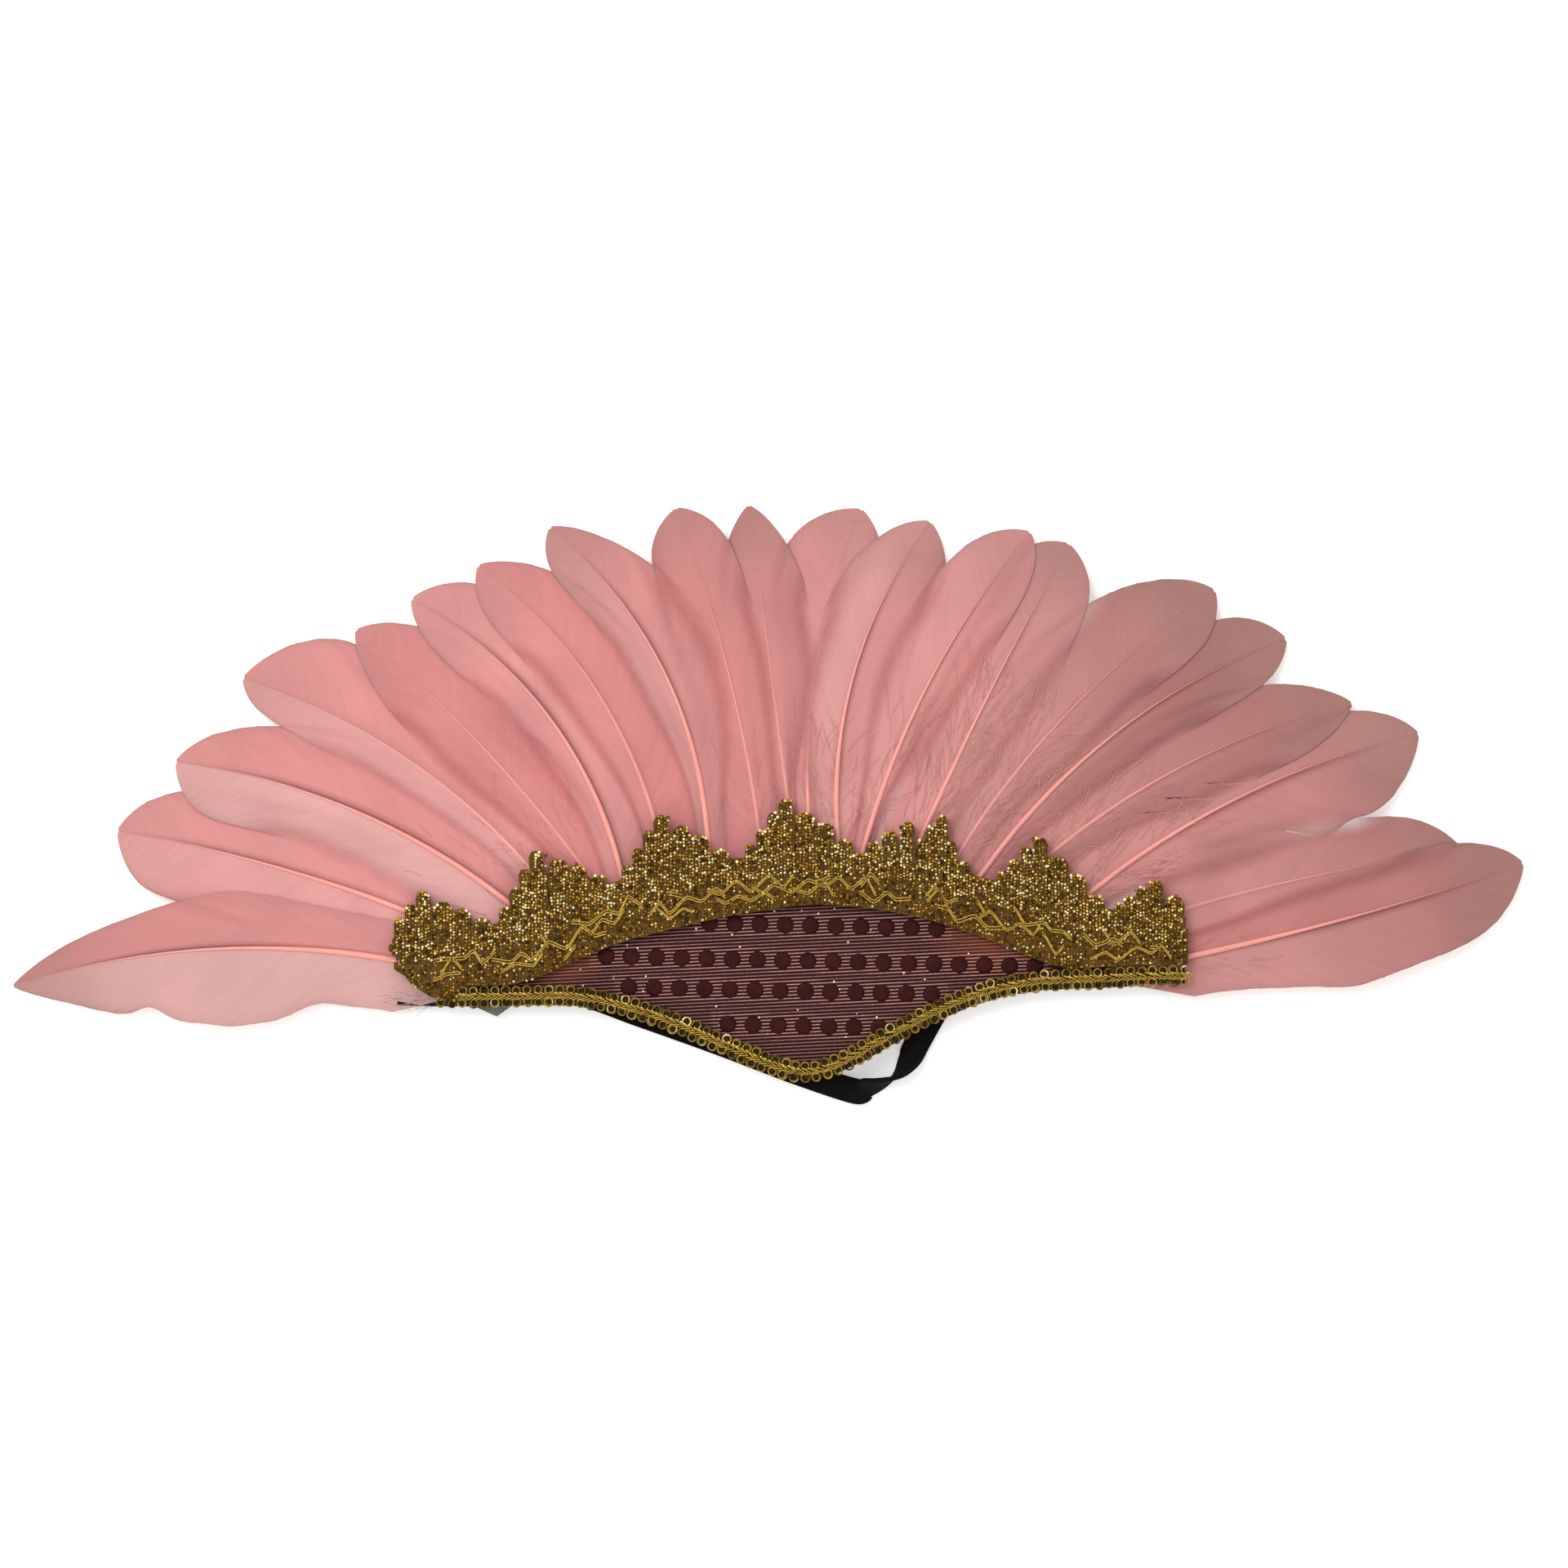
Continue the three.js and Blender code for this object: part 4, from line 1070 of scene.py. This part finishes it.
lace_ground = gold_material(
    "lace_gauze",
    linear(24, 16, 3), linear(104, 74, 21), linear(184, 144, 64), grain=1100.0, metallic=0.2, share=0.37,
)
# The loops' colour goes from painted shade to painted glint by their glint attribute
lace_gold = gold_material(
    "lace_gold_purl",
    linear(56, 38, 5), linear(196, 150, 58), linear(255, 242, 180), grain=1400.0, metallic=0.6,
    share_attribute="glint",
)
crown_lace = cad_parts["crown_lace"]
crown_lace.data.materials.clear()
crown_lace.data.materials.append(lace_ground)


def lace_top_at(x):
    """Upper edge of the lace at x, the offset from the middle of the finger there and its half width."""
    best = (valley_at(x) + VALLEY_BRIM, 0.0, 1.0)
    for peak, share, fingers in CROWNS:
        for along, height, half in fingers:
            offset = x - (peak + along)
            if abs(offset) < half:
                round_off = half - math.sqrt(half * half - offset * offset)
                top = valley_at(peak + along) + share * height - round_off
                if top > best[0]:
                    best = (top, offset, half)
    return best


def lace_foot_at(x):
    """Lower edge of the lace at x."""
    corner = np.interp(x, *zip(*LACE_CORNER))
    return min(brow_at(x), corner) if x < LACE_CORNER[-1][0] else brow_at(x)


def bead_points():
    """Places of the purl loops, with each one's painted shade or glint, from the lace's foot up into the
    fingers.
    """
    dice = np.random.default_rng(BEAD_SEED)
    points, glints, sizes = [], [], []
    for column in np.arange(LACE_ENDS[0] + COLUMN_HALF, LACE_ENDS[1], COLUMN_PITCH):
        for x in (column - COLUMN_HALF, column + COLUMN_HALF):
            top, offset, half = lace_top_at(x)
            foot = lace_foot_at(x) + BEAD_INSET
            y = foot + dice.uniform(*FIRST_BEAD)
            while y < top - TOP_INSET:
                in_band = (y - foot) < BAND_SHARE * (valley_at(x) - foot)
                rim = half - abs(offset) < RIM_REACH[0] or top - y < RIM_REACH[1]
                if dice.random() < (BAND_COVER if in_band else FINGER_COVER):
                    place = (x + dice.normal(0, BEAD_SLIPS[0]), y + dice.normal(0, BEAD_SLIPS[1]))
                    points.append((*place, LACE_TOP + dice.uniform(*BEAD_LIFTS)))
                    glint = dice.beta(*(BAND_GLINTS if in_band else FINGER_GLINTS))
                    glints.append(glint + (RIM_GLINT if rim else 0.0))
                    sizes.append(dice.uniform(*BEAD_SIZES) if top - y > BEAD_PITCH else RIM_BEAD_SIZE)
                y += BEAD_PITCH * dice.uniform(*BEAD_STEPS)
    return points, glints, sizes


def point_cloud(name, points, layers):
    """A mesh of bare points with number attributes, as the start of a Geometry Nodes piece."""
    mesh = bpy.data.meshes.new(name)
    mesh.from_pydata((np.array(points) * MM).tolist(), [], [])
    for layer_name, values in layers.items():
        layer = mesh.attributes.new(layer_name, "FLOAT", "POINT")
        layer.data.foreach_set("value", values)
    return mesh


def repeated_shape_tree(name, shape, numbers, material):
    """A tree that puts a shape on every point, turned by its angle and sized by its size attribute."""
    tree = bpy.data.node_groups.new(name, "GeometryNodeTree")
    tree.interface.new_socket("Geometry", in_out="INPUT", socket_type="NodeSocketGeometry")
    for number in numbers:
        tree.interface.new_socket(number, in_out="INPUT", socket_type="NodeSocketFloat")
    tree.interface.new_socket("Geometry", in_out="OUTPUT", socket_type="NodeSocketGeometry")
    start = tree.nodes.new("NodeGroupInput")
    end = tree.nodes.new("NodeGroupOutput")
    made = shape(tree, start)
    size, turn, tilt = (
        node(tree, "GeometryNodeInputNamedAttribute", {"Name": name}, data_type="FLOAT").outputs["Attribute"]
        for name in ("size", "turn", "tilt")
    )
    angles = node(tree, "ShaderNodeCombineXYZ", {"X": tilt, "Z": turn}).outputs[0]
    placed = node(
        tree,
        "GeometryNodeInstanceOnPoints",
        {"Points": start.outputs["Geometry"], "Instance": made, "Rotation": angles, "Scale": size},
    )
    real = node(tree, "GeometryNodeRealizeInstances", {"Geometry": placed.outputs["Instances"]})
    painted = node(
        tree, "GeometryNodeSetMaterial", {"Geometry": real.outputs["Geometry"], "Material": material}
    )
    tree.links.new(painted.outputs["Geometry"], end.inputs["Geometry"])
    return tree


def made_by_nodes(name, start, tree, sizes):
    """The plain mesh that a Geometry Nodes tree makes of a start mesh, with the named sizes in metres."""
    obj = bpy.data.objects.new(name, start)
    bpy.context.collection.objects.link(obj)
    modifier = obj.modifiers.new("repeat", "NODES")
    modifier.node_group = tree
    for item in tree.interface.items_tree:
        if item.in_out == "INPUT" and item.name in sizes:
            modifier[item.identifier] = sizes[item.name]
    made = bpy.data.meshes.new_from_object(obj.evaluated_get(bpy.context.evaluated_depsgraph_get()))
    obj.modifiers.clear()
    obj.data = made
    made.name = name
    made.polygons.foreach_set("use_smooth", [True] * len(made.polygons))
    return obj


def round_bead(tree, start):
    """One purl loop, seen from above as a bead."""
    inputs = {"Radius": start.outputs["Bead radius"], "Subdivisions": 1}
    return node(tree, "GeometryNodeMeshIcoSphere", inputs).outputs["Mesh"]


bead_tree = repeated_shape_tree("purl_loops", round_bead, ("Bead radius",), lace_gold)
bead_places, bead_glints, bead_sizes = bead_points()
bead_dice = np.random.default_rng(BEAD_SEED + 1)
bead_start = point_cloud(
    "lace_purl_points",
    bead_places,
    {
        "glint": bead_glints,
        "size": bead_sizes,
        "turn": bead_dice.uniform(0, FULL_TURN, len(bead_places)),
        "tilt": bead_dice.uniform(0, FULL_TURN, len(bead_places)),
    },
)
lace_purl = made_by_nodes("lace_purl", bead_start, bead_tree, {"Bead radius": BEAD_RADIUS * MM})
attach(lace_purl, "root")

# The lace's left end
# The same gauzy ground of gold lace, cut to a rounded corner. It hangs down from the lace's lower edge to the
# hem and covers the start of the braid.
CORNER_COLUMNS = 24
CORNER_OVERLAP = 1.5
CORNER_TOP = LACE_TOP - 0.05
CORNER_THICKNESS = 0.4

corner_points = np.array([
    (x, y, CORNER_TOP)
    for x in np.linspace(LACE_CORNER[0][0], LACE_CORNER[-1][0], CORNER_COLUMNS)
    for y in (brow_at(x) + CORNER_OVERLAP, lace_foot_at(x))
])
corner_quads = [(2 * c, 2 * c + 1, 2 * c + 3, 2 * c + 2) for c in range(CORNER_COLUMNS - 1)]
corner_vertices, corner_faces, *_ = thickened((corner_points, corner_quads, [], []), CORNER_THICKNESS)
lace_corner = mesh_object("lace_corner", corner_vertices, corner_faces, [lace_ground], smooth=False)
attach(lace_corner, "root")

# The lace's shiny threads
# Pairs of flat gold threads, couched onto the lower half of the lace. They zigzag along it and dip under the
# loops here and there.
ZIGZAG_STEP = (1.7, 3.6)
ZIGZAG_FROM = (-67.0, -64.0)
ZIGZAG_ROWS = (
    # share of the way from brow to valley line at the low and the high corner, seed
    (0.34, 0.50, 5),
    (0.46, 0.62, 6),
    (0.20, 0.36, 8),
)
THREAD_WIDTH = 0.2
THREAD_THICKNESS = 0.1
THREAD_APART = 0.22
THREAD_SPREADS = (0.6, 1.5)  # a run's two threads lie this many times THREAD_APART from its middle
THREAD_HEIGHT = LACE_TOP + 0.5
THREAD_POINTS = 6  # from corner to corner
THREAD_DIVES = 0.25  # share of the corners where the threads dip under the loops and aren't seen
DIVE_LENGTHS = (0.5, 2.5)
THREAD_SLIP = 0.05
THREAD_ROUND = 0.6  # how much the threads round off their corners, from 0 straight to 1

lace_flat = gold_material(
    "lace_flat_thread",
    linear(70, 52, 10), linear(186, 152, 66), linear(255, 244, 178), grain=1100.0, metallic=0.6, share=0.54,
)

zigzag_vertices, zigzag_faces = [], []
for low_share, high_share, seed in ZIGZAG_ROWS:
    zigzag_dice = np.random.default_rng(seed)
    x = zigzag_dice.uniform(*ZIGZAG_FROM)
    runs = [[]]
    high = False
    while x < LACE_ENDS[1] - 1.0:
        share = (high_share if high else low_share) + zigzag_dice.normal(0, THREAD_SLIP)
        runs[-1].append((x, mixed(brow_at(x), valley_at(x), share)))
        if zigzag_dice.random() < THREAD_DIVES:
            runs.append([])
            x += zigzag_dice.uniform(*DIVE_LENGTHS)
        high = not high
        x += zigzag_dice.uniform(*ZIGZAG_STEP)
    for run in (run for run in runs if len(run) > 1):
        for pair in (-THREAD_APART, THREAD_APART):
            apart = pair * zigzag_dice.uniform(*THREAD_SPREADS)
            route = []
            for (x0, y0), (x1, y1) in zip(run, run[1:]):
                for t in np.linspace(0, 1, THREAD_POINTS, endpoint=False):
                    eased = mixed(t, (1 - math.cos(math.pi * t)) / 2, THREAD_ROUND)
                    route.append((mixed(x0, x1, t), mixed(y0, y1, eased) + apart, THREAD_HEIGHT))
            ribbon(route, THREAD_WIDTH, THREAD_THICKNESS, zigzag_vertices, zigzag_faces)
lace_zigzag = mesh_object("lace_zigzag", zigzag_vertices, zigzag_faces, [lace_flat], smooth=False)
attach(lace_zigzag, "root")

# The edge braid
# Pale gold gimp sewn along the hem: a woven foot, a herringbone of flat strands down its middle, and on both
# sides a row of round wire rings, two turns each, that stand over the edge.
BRAID_ENDS = (-64.5, 82.0)
BRAID_WIDTH = 4.1
BRAID_FOOT = 5.8
RING_PITCH = 2.1
RING_RADIUS = 0.84
RING_WIRE = 0.17
RING_OFFSET = 1.2
RING_HEIGHT = BRAID_FOOT + 0.8
RING_STACK = 0.34  # how much higher a ring's second turn lies
RING_SLIP = 0.09
RING_LIFT = 0.05
RING_SIZES = (0.85, 1.05)
RING_TILT = 0.2
# Each ring's painted shade or glint: a beta spread, scaled down to RING_BRIGHTEST
RING_GLINTS = (2.0, 2.4)
RING_BRIGHTEST = 0.9
RING_SEED = 3
STRAND_PITCH = 1.0
STRAND_REACH = 0.7
STRAND_RUN = 1.7
STRAND_SIZE = (0.19, 0.14)
STRAND_POINTS = 5
STRAND_SLIP = 0.12
STRAND_HEIGHT = BRAID_FOOT + 1.1
STRAND_ARCH = 0.3
STRAND_ARCH_FROM = 0.15  # share of the arch's run at which a strand begins
STRAND_SWAY = 0.4
STRAND_SEED = 9
FOOT_POINTS = 300
FOOT_HEIGHT = BRAID_FOOT + 0.3
FOOT_SIZE = (0.74 * BRAID_WIDTH, 0.55)
LINE_POINTS = 600

braid_gold = gold_material(
    "braid_pale_gold",
    linear(44, 32, 5), linear(156, 127, 48), linear(255, 244, 186), grain=900.0, metallic=0.55,
    share_attribute="glint",
)
braid_foot = gold_material(
    "braid_woven_foot",
    linear(16, 11, 1), linear(62, 46, 10), linear(140, 112, 40), grain=1200.0, metallic=0.2, share=0.36,
)


def braid_line(samples):
    """Points and directions along the braid's middle, an even distance apart, and its length."""
    line = []
    for x in np.linspace(*BRAID_ENDS, LINE_POINTS):
        slope = hem_at(x + 0.5) - hem_at(x - 0.5)
        inward = np.array([-slope, 1.0]) / math.hypot(slope, 1.0) * BRAID_WIDTH / 2
        line.append((x + inward[0], hem_at(x) + inward[1]))
    line = np.array(line)
    gone = np.concatenate([[0], np.cumsum(np.hypot(*np.diff(line, axis=0).T))])
    at = np.linspace(0, gone[-1], samples)
    places = np.stack([np.interp(at, gone, line[:, k]) for k in range(2)], axis=1)
    ahead = np.gradient(places, axis=0)
    ahead /= np.hypot(*ahead.T)[:, None]
    return places, ahead, gone[-1]


def wire_ring(tree, start):
    """One turn of wire."""
    circle, wire = (
        node(tree, "GeometryNodeCurvePrimitiveCircle", {"Radius": start.outputs[radius], "Resolution": sides})
        for radius, sides in (("Ring radius", 12), ("Wire radius", 5))
    )
    curves = {"Curve": circle.outputs["Curve"], "Profile Curve": wire.outputs["Curve"]}
    made = node(tree, "GeometryNodeCurveToMesh", curves)
    return made.outputs["Mesh"]


ring_tree = repeated_shape_tree("braid_rings", wire_ring, ("Ring radius", "Wire radius"), braid_gold)
braid_length = braid_line(LINE_POINTS)[2]
ring_dice = np.random.default_rng(RING_SEED)
ring_points, ring_sizes, ring_tilts, ring_turns, ring_glints = [], [], [], [], []
ring_places, ring_ahead, _ = braid_line(round(braid_length / RING_PITCH))
for (px, py), (ax, ay) in zip(ring_places, ring_ahead):
    for side in (1, -1):
        for turn in range(2):
            slip = ring_dice.normal(0, RING_SLIP, 2)
            ring_points.append(
                (
                    px - ay * side * RING_OFFSET + slip[0],
                    py + ax * side * RING_OFFSET + slip[1],
                    RING_HEIGHT + RING_STACK * turn + ring_dice.normal(0, RING_LIFT),
                )
            )
            ring_sizes.append(ring_dice.uniform(*RING_SIZES))
            ring_tilts.append(ring_dice.normal(0, RING_TILT))
            ring_turns.append(ring_dice.uniform(0, FULL_TURN))
            ring_glints.append(RING_BRIGHTEST * ring_dice.beta(*RING_GLINTS))
ring_layers = {"size": ring_sizes, "tilt": ring_tilts, "turn": ring_turns, "glint": ring_glints}
ring_start = point_cloud("braid_ring_points", ring_points, ring_layers)
braid_rings = made_by_nodes(
    "braid_rings", ring_start, ring_tree, {"Ring radius": RING_RADIUS * MM, "Wire radius": RING_WIRE * MM}
)
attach(braid_rings, "root")

plait_vertices, plait_faces = [], []
plait_dice = np.random.default_rng(STRAND_SEED)
plait_places, plait_ahead, _ = braid_line(round(braid_length / STRAND_PITCH))
for (px, py), (ax, ay) in zip(plait_places, plait_ahead):
    for side in (1, -1):
        slip = plait_dice.normal(0, STRAND_SLIP)
        route = []
        for t in np.linspace(0, 1, STRAND_POINTS):
            run = STRAND_RUN * t + side * STRAND_PITCH / 4 + slip
            across = side * STRAND_REACH * (1 - t) + slip * STRAND_SWAY
            z = STRAND_HEIGHT + STRAND_ARCH * math.sin(math.pi * mixed(STRAND_ARCH_FROM, 1.0, t))
            route.append((px + ax * run - ay * across, py + ay * run + ax * across, z))
        ribbon(route, *STRAND_SIZE, plait_vertices, plait_faces)
foot_faces_from = len(plait_faces)
foot_route = [(px, py, FOOT_HEIGHT) for px, py in braid_line(FOOT_POINTS)[0]]
ribbon(foot_route, *FOOT_SIZE, plait_vertices, plait_faces)
braid_plait = mesh_object("braid_plait", plait_vertices, plait_faces, [lace_flat, braid_foot], smooth=False)
foot_slots = [0] * foot_faces_from + [1] * (len(plait_faces) - foot_faces_from)
braid_plait.data.polygons.foreach_set("material_index", foot_slots)
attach(braid_plait, "root")
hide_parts("edge_braid")

# The elastic band
# Soft black elastic five millimetres wide, ribbed along its length, sewn on behind both ends of the base. It
# lies flat under the headdress and turns over on its edge at the middle of the loop.
BAND_WIDTH = 5.0
BAND_THICKNESS = 1.0
BAND_ROUTE = (
    # x, y, roll in degrees
    (-66.2, -34.1, 0),
    (-51.7, -35.7, 0),
    (-38.8, -37.2, 0),
    (-25.1, -41.9, 0),
    (-8.9, -47.7, 0),
    (3.9, -52.6, 0),
    (14.3, -56.2, 0),
    (19.6, -56.2, 50),
    (24.6, -54.3, 90),
    (27.6, -51.0, 135),
    (30.0, -46.4, 175),
    (33.6, -40.2, 180),
    (40.1, -30.9, 180),
    (49.0, -25.4, 180),
    (61.0, -25.4, 180),
    (70.7, -28.2, 180),
    (77.9, -31.6, 180),
)
BAND_SECTIONS = 260
BAND_RIBS = 7
BAND_RIB_RELIEF = 0.07

elastic = fibre_material("black_elastic", linear(5, 4, 3), linear(24, 20, 18), 0.0005, 0.7)


def centripetal(points, samples):
    """A centripetal Catmull-Rom curve through the points, with the samples spread evenly over the spans."""
    points = np.array(points, dtype=float)
    ends = np.vstack([2 * points[0] - points[1], points, 2 * points[-1] - points[-2]])
    made = []
    for t in np.linspace(0, len(points) - 1, samples):
        i = min(int(t), len(points) - 2)
        w = t - i
        p = ends[i:i + 4]
        d = [max(1e-6, float(np.linalg.norm(p[k + 1] - p[k])) ** 0.5) for k in range(3)]
        t1 = ((p[1] - p[0]) / d[0] - (p[2] - p[0]) / (d[0] + d[1]) + (p[2] - p[1]) / d[1]) * d[1]
        t2 = ((p[2] - p[1]) / d[1] - (p[3] - p[1]) / (d[1] + d[2]) + (p[3] - p[2]) / d[2]) * d[1]
        c2 = -3 * p[1] + 3 * p[2] - 2 * t1 - t2
        c3 = 2 * p[1] - 2 * p[2] + t1 + t2
        made.append(p[1] + t1 * w + c2 * w * w + c3 * w ** 3)
    return np.array(made)


band_line = centripetal(BAND_ROUTE, BAND_SECTIONS)
band_ahead = np.gradient(band_line[:, :2], axis=0)
band_ahead /= np.hypot(*band_ahead.T)[:, None]
band_profile = []
for k in range(BAND_RIBS * 4 + 1):
    u = -1 + 2 * k / (BAND_RIBS * 4)
    ridge = BAND_RIB_RELIEF * (math.cos(2 * math.pi * k / 4) - 1) / 2
    band_profile.append((u * BAND_WIDTH / 2, BAND_THICKNESS / 2 + ridge))
band_profile += [(u, -w) for u, w in reversed(band_profile)]
band_vertices, band_faces = [], []
for (x, y, roll), (ax, ay) in zip(band_line, band_ahead):
    angle = math.radians(min(180.0, max(0.0, roll)))
    c, s = math.cos(angle), math.sin(angle)
    centre = (abs(c) * BAND_THICKNESS + s * BAND_WIDTH) / 2
    for u, w in band_profile:
        flat = u * c - w * s
        band_vertices.append((x - ay * flat, y + ax * flat, centre + u * s + w * c))
band_corners = len(band_profile)
for r in range(BAND_SECTIONS - 1):
    for k in range(band_corners):
        a, b = r * band_corners + k, r * band_corners + (k + 1) % band_corners
        band_faces.append((a, b, b + band_corners, a + band_corners))
band_last = (BAND_SECTIONS - 1) * band_corners
band_faces.append(tuple(reversed(range(band_corners))))
band_faces.append(tuple(band_last + k for k in range(band_corners)))
head_band = mesh_object("head_band", band_vertices, band_faces, [elastic])
band_mesh = bmesh.new()
band_mesh.from_mesh(head_band.data)
bmesh.ops.recalc_face_normals(band_mesh, faces=band_mesh.faces)
band_mesh.to_mesh(head_band.data)
band_mesh.free()
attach(head_band, "root")
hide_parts("elastic_band")
